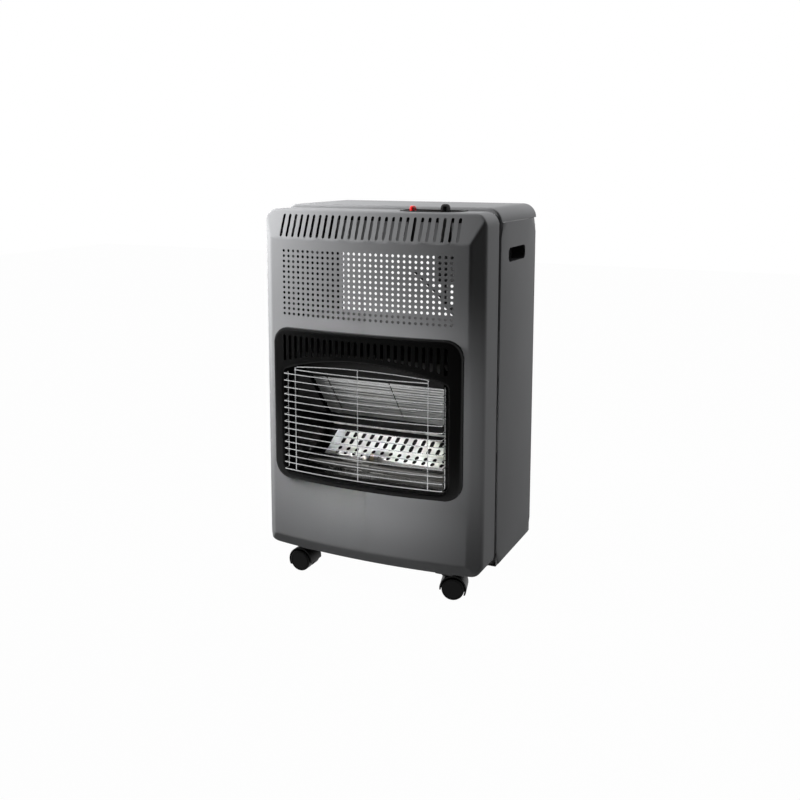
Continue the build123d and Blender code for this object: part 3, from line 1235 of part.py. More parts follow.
def caster_hood():
    """Hood of a twin-wheel caster, with the stem axis at the origin and the wheels along +X."""
    half_width = WEB / 2 + WHEEL_SIDE_GAP + WHEEL_WIDTH - WHEEL_EDGE_R
    inner_r = WHEEL_R + HOOD_GAP
    hood = along_y(HOOD_R, CASTER_TRAIL, WHEEL_R, -half_width, half_width)
    hood -= along_y(inner_r, CASTER_TRAIL, WHEEL_R, -2 * half_width, 2 * half_width)
    web = along_y(inner_r + HOOD_WALL / 2, CASTER_TRAIL, WHEEL_R, -WEB / 2, WEB / 2)
    hood += web
    hood -= block(-WIDTH, CASTER_TRAIL, -WIDTH, WIDTH, -HEIGHT, WHEEL_R - AXLE_R - HOOD_WALL)
    hood -= block(CASTER_TRAIL, WIDTH, -WIDTH, WIDTH, -HEIGHT, HOOD_TAIL_Z)
    side = block(CASTER_TRAIL - HOOD_R, CASTER_TRAIL, WEB / 2, 2 * half_width,
                 0, WHEEL_R - AXLE_R)
    hood -= side
    hood -= mirror(side, about=Plane.XZ)
    boss_low = WHEEL_R + math.sqrt(inner_r**2 - CASTER_TRAIL**2)
    hood += upright(HOOD_BOSS_R, 0, 0, boss_low + HOOD_WALL / 2, CASTER_TOP) - along_y(
        inner_r, CASTER_TRAIL, WHEEL_R, -2 * half_width, 2 * half_width)
    hood -= along_y(AXLE_R + RUNNING, CASTER_TRAIL, WHEEL_R, -WEB, WEB)
    return hood - upright(STEM_R + RUNNING, 0, 0, CASTER_TOP - STEM_DEPTH, CASTER_TOP + 1)


def caster_axle():
    """Steel axle and steel stem, two solids."""
    reach = WEB / 2 + WHEEL_SIDE_GAP + WHEEL_WIDTH - WHEEL_CAP - SEAT
    axle = along_y(AXLE_R, CASTER_TRAIL, WHEEL_R, -reach, reach)
    stem_high = TRAY_FLOOR + SOCKET_BOSS_H - SOCKET_CAP - STEM_END_GAP
    return [axle, upright(STEM_R, 0, 0, CASTER_TOP - STEM_DEPTH, stem_high)]


def caster_wheel(side):
    """One wheel of a caster, on the +Y (side = 1) or -Y (side = -1) end of the axle."""
    near = WEB / 2 + WHEEL_SIDE_GAP
    far = near + WHEEL_WIDTH
    wheel = along_y(WHEEL_R, CASTER_TRAIL, WHEEL_R, near, far)
    rims = wheel.edges().filter_by(GeomType.CIRCLE)
    wheel = fillet(rims, WHEEL_EDGE_R)
    dish = along_y(WHEEL_R * WHEEL_RING[1], CASTER_TRAIL, WHEEL_R, far - WHEEL_DISH, far + 1)
    wheel -= dish - along_y(WHEEL_R * WHEEL_RING[0], CASTER_TRAIL, WHEEL_R, far - 2 * WHEEL_DISH, far + 2)
    wheel -= along_y(AXLE_R + RUNNING, CASTER_TRAIL, WHEEL_R, near - 1, far - WHEEL_CAP)
    return wheel if side > 0 else mirror(wheel, about=Plane.XZ)


def add_casters():
    """Place the pieces of the four casters at their stems and headings."""
    for name, (x, y) in caster_places().items():
        place = Pos(x, y) * Rot(0, 0, CASTER_HEADINGS[name])
        PIECES[name + "_hood"] = place * caster_hood()
        PIECES[name + "_axle"] = [place * solid for solid in caster_axle()]
        PIECES[name + "_wheel_a"] = place * caster_wheel(1)
        PIECES[name + "_wheel_b"] = place * caster_wheel(-1)


# ---------------------------------------------------------------- assembly
PIECES["front_panel"] = front_panel()
PIECES["front_frame"] = front_frame()
PIECES["side_panel_right"] = side_panel()
PIECES["side_panel_left"] = mirrored(side_panel())
PIECES["handle_cup_right"] = handle_cup()
PIECES["handle_cup_left"] = mirrored(handle_cup())
PIECES["lid"] = lid()
PIECES["rear_brace"] = rear_brace()
PIECES["base_tray"] = base_tray()
PIECES["panel_screws"] = panel_screws()
PIECES["socket_screws"] = socket_screws()
PIECES["bezel"] = bezel()
PIECES["guard"] = guard()
PIECES["guard_clips"] = guard_clips()
PIECES["burner_box"] = burner_box()
PIECES["roof_plate"] = roof_plate()
PIECES["reflector"] = reflector()
PIECES["side_shield_right"] = side_shield()
PIECES["side_shield_left"] = mirrored(side_shield())
PIECES["burner_body"] = burner_body()
PIECES["burner_plate"] = burner_plate()
PIECES["mesh_strip"] = mesh_strip()
PIECES["trough"] = trough()
PIECES["burner_tube"] = burner_tube()
PIECES["injector"] = injector()
PIECES["pilot_bracket"] = pilot_bracket()
PIECES["pilot_burner"] = pilot_burner()
PIECES["spark_electrode"] = spark_electrode()
PIECES["thermocouple"] = thermocouple()
PIECES["control_plate"] = control_plate()
PIECES["gas_valve"] = gas_valve()
PIECES["valve_nut"] = valve_nut()
PIECES["valve_stem"] = valve_stem()
PIECES["knob"] = knob()
PIECES["piezo_igniter"] = piezo_igniter()
PIECES["piezo_nut"] = piezo_nut()
PIECES["igniter_button"] = igniter_button()
PIECES["hose_tail"] = hose_tail()
PIECES["gas_pipe"] = gas_pipe()
PIECES["pilot_pipe"] = pilot_pipe()
PIECES["thermocouple_lead"] = thermocouple_lead()
PIECES["ignition_lead"] = ignition_lead()
PIECES["caster_sockets"] = caster_sockets()
add_casters()

TO_FOOTPRINT = Pos(0, -CENTRE_Y, 0)
for node, shape in PIECES.items():
    solids = shape if isinstance(shape, list) else [shape]
    placed = [TO_FOOTPRINT * solid for solid in solids]
    export_step(placed[0] if len(placed) == 1 else Compound(children=placed), f"parts/{node}.step")

print("pieces", len(PIECES), "middle of the footprint behind the front face", round(CENTRE_Y, 3))
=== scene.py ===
"""Looks of a portable gas cabinet heater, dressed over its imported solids.

Sizes are in millimetres, in the heater's own frame: x = 0 is the middle, z = 0 is the floor, and
y = 0 is the middle of the front panel's bowed face, with +Y towards the back. A mesh is turned
into metres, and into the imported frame, only when it is made.
"""

import json
import logging
import math
from dataclasses import dataclass, field
from enum import Enum
from typing import Callable, Iterable, Sequence

import bmesh
import bpy
import numpy as np
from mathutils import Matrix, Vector, geometry


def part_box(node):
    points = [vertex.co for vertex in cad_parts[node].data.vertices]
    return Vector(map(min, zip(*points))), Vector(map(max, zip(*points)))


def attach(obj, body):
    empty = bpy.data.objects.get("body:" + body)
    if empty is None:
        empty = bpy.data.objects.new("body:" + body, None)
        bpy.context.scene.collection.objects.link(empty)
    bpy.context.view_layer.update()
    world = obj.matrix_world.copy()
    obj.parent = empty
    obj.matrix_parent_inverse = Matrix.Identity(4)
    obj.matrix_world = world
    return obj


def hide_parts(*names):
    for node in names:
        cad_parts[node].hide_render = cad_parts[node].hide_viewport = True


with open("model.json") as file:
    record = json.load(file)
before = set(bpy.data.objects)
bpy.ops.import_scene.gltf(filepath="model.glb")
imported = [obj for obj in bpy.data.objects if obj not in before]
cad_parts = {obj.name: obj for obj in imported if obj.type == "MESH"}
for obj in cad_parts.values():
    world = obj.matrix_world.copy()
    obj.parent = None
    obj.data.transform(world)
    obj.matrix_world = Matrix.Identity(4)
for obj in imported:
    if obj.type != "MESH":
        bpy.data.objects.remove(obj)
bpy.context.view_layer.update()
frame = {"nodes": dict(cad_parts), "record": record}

LOG = logging.getLogger("heater")
MM = 0.001
TAU = 2.0 * math.pi
FRONT_FACE_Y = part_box("front_panel")[0].y
CABINET = "cabinet"
SAME_POINT_M = 2e-6
SLIVER_M = 1e-7
TINY = 1e-9
COAT_ROUGHNESS = 0.1

Loop = np.ndarray
Lift = Callable[[np.ndarray, np.ndarray], np.ndarray]


def local_box(node: str) -> tuple:
    """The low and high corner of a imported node, in millimetres in the heater's own frame."""
    shift = np.array([0.0, FRONT_FACE_Y, 0.0])
    return tuple((np.array(corner) - shift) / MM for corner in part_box(node))


class Facing(Enum):
    """The side that an open sheet's outer face looks to."""

    BACK = (0.0, 1.0, 0.0)
    FRONT = (0.0, -1.0, 0.0)
    LEFT = (-1.0, 0.0, 0.0)
    RIGHT = (1.0, 0.0, 0.0)
    UP = (0.0, 0.0, 1.0)


# ------------------------------------------------------------------------------ surfaces
@dataclass
class Surface:
    """Points in millimetres, and the faces that join them.

    Attributes:
        points: one row of x, y, z per point.
        faces: arrays of point numbers, one row per face, each array of one face size.
    """

    points: np.ndarray
    faces: list

    def __add__(self, other: "Surface") -> "Surface":
        """Both surfaces as one."""
        shift = len(self.points)
        return Surface(np.vstack([self.points, other.points]),
                       self.faces + [faces + shift for faces in other.faces])

    def mirrored(self) -> "Surface":
        """The same surface on the other side of x = 0, with its faces turned back out."""
        return Surface(self.points * (-1.0, 1.0, 1.0), [faces[:, ::-1] for faces in self.faces])


def joined(surfaces: Iterable[Surface]) -> Surface:
    """Joins surfaces into one.

    Args:
        surfaces: at least one surface.

    Returns:
        All of them, in their order.
    """
    total, *others = surfaces
    for other in others:
        total = total + other
    return total


def grid_faces(rows: int, columns: int, closed: bool = False) -> np.ndarray:
    """Quads of a grid whose point (i, j) has the number i * columns + j.

    Args:
        rows: how many rows of points.
        columns: how many points in a row.
        closed: whether the end of each row joins its start.

    Returns:
        One row of four point numbers per quad.
    """
    i = np.arange(rows - 1)[:, None]
    j = np.arange(columns if closed else columns - 1)[None, :]
    j_next = (j + 1) % columns
    corners = (i * columns + j, i * columns + j_next,
               (i + 1) * columns + j_next, (i + 1) * columns + j)
    return np.stack([np.broadcast_to(c, (i.size, j.size)) for c in corners], -1).reshape(-1, 4)


def grid_surface(x: np.ndarray, y: np.ndarray, z: np.ndarray) -> Surface:
    """A surface from its three coordinates on a grid.

    Args:
        x: x of each point, by row and column.
        y: y in the same way.
        z: z in the same way.

    Returns:
        An open surface.
    """
    x, y, z = np.broadcast_arrays(x, y, z)
    points = np.stack([x, y, z], -1).reshape(-1, 3).astype(float)
    return Surface(points, [grid_faces(*x.shape)])


def fan(rim: np.ndarray, middle: Sequence[float]) -> Surface:
    """Triangles from a closed rim of points to one middle point.

    Args:
        rim: one row of x, y, z per point.
        middle: the point that they all meet in.

    Returns:
        An open surface.
    """
    count = len(rim)
    around = np.arange(count)
    faces = np.stack([around, (around + 1) % count, np.full(count, count)], -1)
    return Surface(np.vstack([rim, np.array([middle], float)]), [faces])


def tube(path: np.ndarray, radius: float, across: Sequence[float], sides: int = 8) -> Surface:
    """A round bar along a path: the path plus radius * (cos, sin) of the angle on two sides.

    The tangent is the difference of a point's neighbours. The first side is the given direction
    with its share along the tangent taken away, and the second is square to both.

    Args:
        path: one row of x, y, z per point.
        radius: the bar's radius.
        across: a direction that the path never runs along.
        sides: points round the bar.

    Returns:
        A closed surface.
    """
    tangent = np.gradient(path, axis=0)
    tangent /= np.linalg.norm(tangent, axis=1, keepdims=True)
    side = np.array(across) - tangent * (tangent @ np.array(across))[:, None]
    side /= np.linalg.norm(side, axis=1, keepdims=True)
    up = np.cross(tangent, side)
    angle = np.arange(sides) * TAU / sides
    around = (np.cos(angle)[None, :, None] * side[:, None, :]
              + np.sin(angle)[None, :, None] * up[:, None, :])
    points = path[:, None, :] + radius * around
    wall = Surface(points.reshape(-1, 3), [grid_faces(len(path), sides, closed=True)])
    return wall + fan(points[0][::-1], path[0]) + fan(points[-1], path[-1])


# ------------------------------------------------------------------------------ outlines
def evenly(count: int, pitch: float) -> np.ndarray:
    """Places of a count of things at a pitch, with their middle at 0."""
    return (np.arange(count) - (count - 1) / 2) * pitch


def way_along(path: np.ndarray) -> np.ndarray:
    """The way from a path's first point to each of its points: the sum of the steps so far."""
    return np.concatenate([[0.0], np.cumsum(np.linalg.norm(np.diff(path, axis=0), axis=1))])


def eased_corner(start: Sequence[float], corner: Sequence[float], end: Sequence[float],
                 t: np.ndarray) -> np.ndarray:
    """A quadratic curve: (1 - t)^2 start + 2 t (1 - t) corner + t^2 end.

    Args:
        start: where it starts, aimed at the corner.
        corner: the corner that it cuts.
        end: where it ends, aimed away from the corner.
        t: places on it, from 0 to 1.

    Returns:
        The points at those places.
    """
    return ((1 - t) ** 2 * np.asarray(start) + 2 * t * (1 - t) * np.asarray(corner)
            + t**2 * np.asarray(end))


def arc(centre: Sequence[float], radius: float, start: float, end: float,
        steps: int) -> np.ndarray:
    """Points on a circle: centre + radius * (cos, sin) of even angles.

    Args:
        centre: the circle's centre.
        radius: its radius.
        start: the first angle, in degrees.
        end: the last angle, in degrees.
        steps: how many steps lie between them.

    Returns:
        steps + 1 points.
    """
    angle = np.radians(np.linspace(start, end, steps + 1))
    return np.stack([centre[0] + radius * np.cos(angle), centre[1] + radius * np.sin(angle)], -1)


def dense(corner_points: np.ndarray, step: float) -> Loop:
    """Adds points on a closed loop's long sides: a + (b - a) * share.

    Args:
        corner_points: the loop's corners.
        step: the widest gap that may stay.

    Returns:
        The loop with its corners and the added points.
    """
    parts = []
    following = np.roll(corner_points, -1, axis=0)
    for a, b in zip(corner_points, following):
        count = max(1, math.ceil(np.linalg.norm(b - a) / step))
        parts.append(a + (b - a) * (np.arange(count) / count)[:, None])
    return np.vstack(parts)


def rectangle(left: float, right: float, low: float, high: float, step: float) -> Loop:
    """A rectangle, anticlockwise, with points no further apart than step."""
    return dense(np.array([(left, low), (right, low), (right, high), (left, high)]), step)


def rounded_loop(half_width: float, low: float, high: float, radius: float, step: float = 12.0,
                 corner_steps: int = 8) -> Loop:
    """A rectangle with an arc for each corner, anticlockwise.

    Args:
        half_width: half its width.
        low: its lower side.
        high: its upper side.
        radius: its corners' radius.
        step: the widest gap between points on its sides.
        corner_steps: how many steps a corner has.

    Returns:
        The loop.
    """
    x, bottom, top = half_width - radius, low + radius, high - radius
    corners = np.vstack([
        arc((x, bottom), radius, -90, 0, corner_steps),
        arc((x, top), radius, 0, 90, corner_steps),
        arc((-x, top), radius, 90, 180, corner_steps),
        arc((-x, bottom), radius, 180, 270, corner_steps),
    ])
    return dense(corners, step)


def slot_loop(x: float, low: float, high: float, width: float, steps: int = 6) -> Loop:
    """An upright slot with round ends, anticlockwise."""
    r = width / 2
    return np.vstack([arc((x, high - r), r, 0, 180, steps), arc((x, low + r), r, 180, 360, steps)])


def circle_loop(x: float, z: float, radius: float, sides: int = 16) -> Loop:
    """A circle, anticlockwise."""
    return arc((x, z), radius, 0, 360, sides)[:-1]


def channel(web: float, low: float, high: float, flange: float, bend: float,
            steps: int = 5) -> np.ndarray:
    """The section of a folded channel: a web with a flange at each end, joined by arcs.

    Args:
        web: where the web's outer face lies, on the first axis.
        low: where the first flange's outer face lies, on the second axis.
        high: where the second flange's outer face lies.
        flange: how far the flanges reach back from the web.
        bend: outer radius of the folds.
        steps: how many steps a fold has.

    Returns:
        The outer face's points, from flange to flange.
    """
    return np.vstack([[(web - flange, low)],
                      arc((web - bend, low + bend), bend, -90, 0, steps),
                      arc((web - bend, high - bend), bend, 0, 90, steps),
                      [(web - flange, high)]])


def outward_normals(loop: Loop) -> np.ndarray:
    """Unit normals that point out of a loop: each neighbour difference, turned a right angle.

    Args:
        loop: an anticlockwise loop.

    Returns:
        One row of two coordinates per point.
    """
    along = np.roll(loop, -1, axis=0) - np.roll(loop, 1, axis=0)
    along = along / np.maximum(np.linalg.norm(along, axis=1, keepdims=True), TINY)
    return np.stack([along[:, 1], -along[:, 0]], -1)


def lattice(x_values: np.ndarray, z_values: np.ndarray) -> np.ndarray:
    """Every pair of two lists of coordinates, as points."""
    x, z = np.meshgrid(x_values, z_values)
    return np.stack([x.ravel(), z.ravel()], -1)


def outside_boxes(points: np.ndarray, boxes: Sequence) -> np.ndarray:
    """Drops the points that lie in a box.

    Args:
        points: one row of two coordinates per point.
        boxes: the boxes, each as (left, right, low, high).

    Returns:
        The points that stay.
    """
    keep = np.ones(len(points), bool)
    for left, right, low, high in boxes:
        keep &= ~((points[:, 0] > left) & (points[:, 0] < right)
                  & (points[:, 1] > low) & (points[:, 1] < high))
    return points[keep]


def on_one_side(points: np.ndarray, loop: Loop, margin: float,
                inside: bool = True) -> np.ndarray:
    """Keeps the points on one side of a loop: inside, a level line crosses it an odd time.

    Args:
        points: one row of two coordinates per point.
        loop: a closed loop.
        margin: how far a point must be from each of the loop's points.
        inside: whether the points inside stay, or those outside.

    Returns:
        The points that stay.
    """
    a, b = loop, np.roll(loop, -1, axis=0)
    x, z = points[:, :1], points[:, 1:]
    rise = np.where(b[:, 1] == a[:, 1], TINY, b[:, 1] - a[:, 1])
    crosses = ((a[:, 1] > z) != (b[:, 1] > z)) & (x < (b[:, 0] - a[:, 0]) * (z - a[:, 1]) / rise
                                                  + a[:, 0])
    held = (crosses.sum(1) % 2 == 1) == inside
    near = np.min((x - a[:, 0]) ** 2 + (z - a[:, 1]) ** 2, axis=1) < margin**2
    return points[held & ~near]


def eased_max(a: np.ndarray, b: np.ndarray, width: float) -> np.ndarray:
    """The larger of two heights, plus (width - |a - b|)^2 / (4 width) where they differ by less."""
    return np.maximum(a, b) + np.maximum(width - np.abs(a - b), 0.0) ** 2 / (4.0 * width)


def bowed(radius: float, x: np.ndarray) -> np.ndarray:
    """How far a cylinder about an upright axis falls back at x: radius - sqrt(radius^2 - x^2)."""
    return radius - np.sqrt(radius**2 - x**2)


# ------------------------------------------------------------------------------ pressed sheet
@dataclass
class Rim:
    """A sheet's edge that is rounded over and drawn back.

    Attributes:
        loop: the edge as seen from the front, anticlockwise.
        radius: how far in from the edge the rounding starts.
        depth: where the drawn wall ends, measured like the sheet's height function; one number,
            or one for each point of the loop.
        lip: width of a lip at the wall's end, turned back over the sheet.
        hole: whether the sheet lies outside the loop.
        steps: rows of the rounding.
        rows: rows of the straight wall.
        probe_share: how far behind the rounding the slope is read, as a share of its radius.
        probe_least: the least radius that counts for that.
    """

    loop: Loop
    radius: float = 0.0
    depth: float | np.ndarray = 0.0
    lip: float = 0.0
    hole: bool = False
    steps: int = 6
    rows: int = 1
    probe_share: float = 0.25
    probe_least: float = 0.4

    def away(self) -> np.ndarray:
        """Unit normals that point away from the sheet."""
        return outward_normals(self.loop) * (-1.0 if self.hole else 1.0)

    def inner(self) -> Loop:
        """The loop where the flat sheet ends and the rounding starts."""
        return self.loop - self.away() * self.radius

    def wall(self, height: Lift) -> np.ndarray:
        """The rounded edge and its wall, as rows of (u, v, depth).

        The rounding is a quadratic curve: it leaves the sheet along its slope, aims at the edge,
        and arrives there straight back.

        Args:
            height: the sheet's depth over its plane.

        Returns:
            An array of rows, points and three coordinates.
        """
        start, away, reach = self.inner(), self.away(), self.radius
        begin = height(start[:, 0], start[:, 1])
        probe = self.probe_share * max(reach, self.probe_least)
        behind = start - away * probe
        slope = (begin - height(behind[:, 0], behind[:, 1])) / probe
        corner = begin + slope * reach
        end = corner + reach * np.sqrt(1.0 + slope**2)
        t = np.linspace(0.0, 1.0, self.steps + 1)[:, None]
        uv = start[None] + away[None] * (reach * (2 * t - t**2))[..., None]
        rows = [np.concatenate([uv, eased_corner(begin, corner, end, t)[..., None]], -1)]
        for share in (np.arange(self.rows) + 1) / self.rows:
            down = end + (np.maximum(self.depth, end) - end) * share
            rows.append(np.concatenate([self.loop, down[:, None]], -1)[None])
        if self.lip:
            turned = self.loop - away * self.lip
            rows.append(np.concatenate([turned, rows[-1][0][:, 2:]], -1)[None])
        return np.concatenate(rows)


@dataclass
class PressedSheet:
    """A sheet pressed over a height function, with a drawn rim and any number of openings.

    The flat part is the outline's inside less the holes, triangulated with the given inner points
    and lifted to depth = height(u, v).

    Attributes:
        rim: the outer edge.
        height: depth of the sheet over its plane.
        holes: plain punched loops.
        drawn: openings with a rounded and drawn edge.
        inner: points inside the sheet that carry its curvature.
        same_point: distance below which the triangulation joins two points.
    """

    rim: Rim
    height: Lift
    holes: list = field(default_factory=list)
    drawn: list = field(default_factory=list)
    inner: np.ndarray = field(default_factory=lambda: np.zeros((0, 2)))
    same_point: float = 1e-5

    def surface(self, place: Callable[[np.ndarray], np.ndarray]) -> Surface:
        """The whole sheet as one surface.

        Args:
            place: turns rows of (u, v, depth) into rows of (x, y, z).

        Returns:
            The sheet, its rims and the walls of its drawn openings.
        """
        loops = [self.rim.inner()] + [rim.inner() for rim in self.drawn] + list(self.holes)
        parts = [self._flat(loops)]
        for rim in [self.rim, *self.drawn]:
            if rim.radius:
                wall = rim.wall(self.height)
                rows, columns = wall.shape[:2]
                parts.append(Surface(wall.reshape(-1, 3), [grid_faces(rows, columns, closed=True)]))
        whole = joined(parts)
        return Surface(place(whole.points), whole.faces)

    def _flat(self, loops: list) -> Surface:
        """Triangulates and lifts the part inside the first loop and outside the others.

        Args:
            loops: the outline, then the openings.

        Returns:
            An open surface of (u, v, depth) points.
        """
        starts = np.cumsum([0] + [len(loop) for loop in loops])
        outlines = [list(range(a, b)) for a, b in zip(starts[:-1], starts[1:])]
        flat = np.vstack([*loops, self.inner])
        made = geometry.delaunay_2d_cdt([Vector(p) for p in flat.tolist()], [], outlines,
                                        1, self.same_point)
        points, faces, loops_of_face = made[0], made[2], made[5]
        uv = np.array([tuple(v) for v in points])
        kept = np.array([f for f, within in zip(faces, loops_of_face) if list(within) == [0]])
        return Surface(np.column_stack([uv, self.height(uv[:, 0], uv[:, 1])]), [kept])


def from_front(points: np.ndarray) -> np.ndarray:
    """(x, z, depth) rows of a sheet that faces the front, as (x, y, z)."""
    return points[:, (0, 2, 1)]


def level(u: np.ndarray, v: np.ndarray) -> np.ndarray:
    """The height of a sheet without any pressing: 0."""
    return 0.0 * u


# ------------------------------------------------------------------------------ shader maths
@dataclass(frozen=True)
class Value:
    """A number that varies over a surface: a socket, with arithmetic that adds Math nodes."""

    tree: "NodeTree"
    socket: bpy.types.NodeSocket

    def __add__(self, other: "Value | float") -> "Value":
        """Sum."""
        return self.tree.math("ADD", self, other)

    __radd__ = __add__

    def __sub__(self, other: "Value | float") -> "Value":
        """Difference."""
        return self.tree.math("SUBTRACT", self, other)

    def __rsub__(self, other: "Value | float") -> "Value":
        """Difference with the value on the right."""
        return self.tree.math("SUBTRACT", other, self)

    def __mul__(self, other: "Value | float") -> "Value":
        """Product."""
        return self.tree.math("MULTIPLY", self, other)

    __rmul__ = __mul__

    def clamped(self) -> "Value":
        """The value held between 0 and 1."""
        return self.tree.math("MINIMUM", self.tree.math("MAXIMUM", self, 0.0), 1.0)

    def step(self, low: float, high: float) -> "Value":
        """Turns the value into a smooth step.

        Args:
            low: where it starts to rise from 0.
            high: where it reaches 1.

        Returns:
            The step.
        """
        return Value(self.tree, self.tree.node(
            "ShaderNodeMapRange", {"interpolation_type": "SMOOTHSTEP"},
            {"Value": self, "From Min": low, "From Max": high, "To Min": 0.0, "To Max": 1.0}
        ).outputs[0])


class NodeTree:
    """Adds nodes to one material, or to the world."""

    def __init__(self, owner: bpy.types.Material | bpy.types.World) -> None:
        """Starts with the owner's own shader, which a world doesn't have.

        Args:
            owner: a material or a world.
        """
        owner.use_nodes = True
        self.tree = owner.node_tree
        self.shader = next((n for n in self.tree.nodes if n.type == "BSDF_PRINCIPLED"), None)
        self._position = None

    def node(self, kind: str, settings: dict, values: dict) -> bpy.types.Node:
        """One node of a type, with its settings set first and then its sockets.

        Args:
            kind: Blender's name of the node type.
            settings: attributes of the node.
            values: numbers, colours, or values that are linked, by socket name or number.

        Returns:
            The node.
        """
        made = self.tree.nodes.new(kind)
        for name, setting in settings.items():
            setattr(made, name, setting)
        for name, value in values.items():
            self.set(made.inputs[name], value)
        return made

    def set(self, socket: bpy.types.NodeSocket,
            value: "Value | bpy.types.NodeSocket | float | tuple") -> None:
        """Links a value to a socket, or sets the socket.

        Args:
            socket: an input.
            value: what is linked, or a number, vector or colour.
        """
        if isinstance(value, Value):
            self.tree.links.new(value.socket, socket)
        elif isinstance(value, bpy.types.NodeSocket):
            self.tree.links.new(value, socket)
        elif isinstance(value, tuple) and socket.type == "RGBA":
            socket.default_value = (*value, 1.0)
        else:
            socket.default_value = value

    def math(self, operation: str, *values: "Value | float") -> Value:
        """One Math node."""
        made = self.node("ShaderNodeMath", {"operation": operation}, dict(enumerate(values)))
        return Value(self, made.outputs[0])

    def position(self) -> bpy.types.NodeSocket:
        """Object coordinates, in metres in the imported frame."""
        if self._position is None:
            self._position = self.node("ShaderNodeTexCoord", {}, {}).outputs["Object"]
        return self._position

    def axis(self, name: str) -> Value:
        """One object coordinate, X, Y or Z."""
        parts = self.node("ShaderNodeSeparateXYZ", {}, {0: self.position()})
        return Value(self, parts.outputs[name])

    def noise(self, size_mm: float, detail: float, roughness: float,
              stretch: Sequence[float] = (1.0, 1.0, 1.0)) -> Value:
        """Noise on the object's own coordinates.

        Args:
            size_mm: size of its features.
            detail: how many finer layers it has.
            roughness: how strong they are.
            stretch: how far the features are drawn out along the axes.

        Returns:
            Its strength, from 0 to 1.
        """
        place = self.node("ShaderNodeMapping", {"vector_type": "POINT"},
                          {"Vector": self.position(),
                           "Scale": tuple(1.0 / (size_mm * MM * s) for s in stretch)})
        made = self.node("ShaderNodeTexNoise", {"noise_dimensions": "3D"},
                         {"Vector": place.outputs[0], "Scale": 1.0, "Detail": detail,
                          "Roughness": roughness})
        return Value(self, made.outputs["Fac"])

    def mix(self, share: Value, low: tuple, high: tuple) -> bpy.types.NodeSocket:
        """A colour between two colours."""
        made = self.node("ShaderNodeMix", {"data_type": "RGBA"}, {0: share, 6: low, 7: high})
        return made.outputs[2]

    def bump(self, height: Value, depth_mm: float) -> None:
        """Sends a height, which spans depth_mm, to the shader's normal."""
        made = self.node("ShaderNodeBump", {}, {"Height": height, "Distance": depth_mm * MM,
                                               "Strength": 1.0})
        self.feed("Normal", made.outputs[0])

    def feed(self, name: str, value: "Value | bpy.types.NodeSocket | float | tuple") -> None:
        """Sets or links one socket of the shader."""
        self.set(self.shader.inputs[name], value)


# ------------------------------------------------------------------------------ finishes
@dataclass(frozen=True)
class Finish:
    """A finish: its colour, gloss and grain.

    Attributes:
        name: the material's name.
        slot: the record's material slot.
        colour: linear base colour.
        roughness: mean roughness.
        spread: how far the roughness strays.
        metallic: 1 for bare metal.
        coat: weight of a clear coat.
        mottle: how far the colour strays, as a share.
        cloud_mm: size of the patches in which it does.
        grain_mm: size of the bump's grain.
        grain_depth_mm: height of the bump.
        stretch: how far the grain is drawn out along the axes.
        specular: specular level.
    """

    name: str
    slot: str
    colour: tuple
    roughness: float
    spread: float = 0.05
    metallic: float = 0.0
    coat: float = 0.0
    mottle: float = 0.08
    cloud_mm: float = 45.0
    grain_mm: float = 1.2
    grain_depth_mm: float = 0.01
    stretch: tuple = (1.0, 1.0, 1.0)
    specular: float = 0.5

    def build(self) -> bpy.types.Material:
        """Makes the material.

        Returns:
            A material that is the same for every piece of this finish.
        """
        made = bpy.data.materials.get(self.name)
        if made is not None:
            return made
        made = bpy.data.materials.new(self.name)
        tree = NodeTree(made)
        tree.feed("Metallic", self.metallic)
        tree.feed("Coat Weight", self.coat)
        tree.feed("Coat Roughness", COAT_ROUGHNESS)
        tree.feed("Specular IOR Level", self.specular)
        self.dress(tree)
        return made

    def toned(self, share: float) -> tuple:
        """The colour made lighter by a share, or darker by one below 0, and no lighter than 1."""
        return tuple(min(1.0, part * (1.0 + share)) for part in self.colour)

    def dress(self, tree: NodeTree) -> None:
        """Adds what varies over the surface: cloudy colour and roughness, and a fine grain.

        Args:
            tree: the material's nodes.
        """
        cloud = tree.noise(self.cloud_mm, detail=2.0, roughness=0.5)
        grain = tree.noise(self.grain_mm, detail=2.0, roughness=0.6, stretch=self.stretch)
        tree.feed("Base Color", tree.mix(cloud, self.toned(-self.mottle), self.toned(self.mottle)))
        tree.feed("Roughness", (self.roughness + (cloud + grain - 1.0) * self.spread).clamped())
        tree.bump(grain, self.grain_depth_mm)


@dataclass(frozen=True)
class FlakePaint(Finish):
    """Cabinet paint with fine flakes under a satin skin.

    Attributes:
        flake_mm: size of the flakes.
        flake_share: their part in the colour; the rest is cloudy.
    """

    mottle: float = 0.14
    cloud_mm: float = 120.0
    grain_mm: float = 2.6
    flake_mm: float = 0.55
    flake_share: float = 0.65

    def dress(self, tree: NodeTree) -> None:
        """Adds flakes and a slight orange peel.

        Args:
            tree: the material's nodes.
        """
        flakes = tree.noise(self.flake_mm, detail=1.0, roughness=0.7)
        cloud = tree.noise(self.cloud_mm, detail=1.0, roughness=0.4)
        peel = tree.noise(self.grain_mm, detail=1.0, roughness=0.4)
        share = (flakes * self.flake_share + cloud * (1.0 - self.flake_share)).clamped()
        tree.feed("Base Color", tree.mix(share, self.toned(-self.mottle), self.toned(self.mottle)))
        tree.feed("Roughness", (self.roughness + (flakes - 0.5) * self.spread).clamped())
        tree.bump(peel, self.grain_depth_mm)


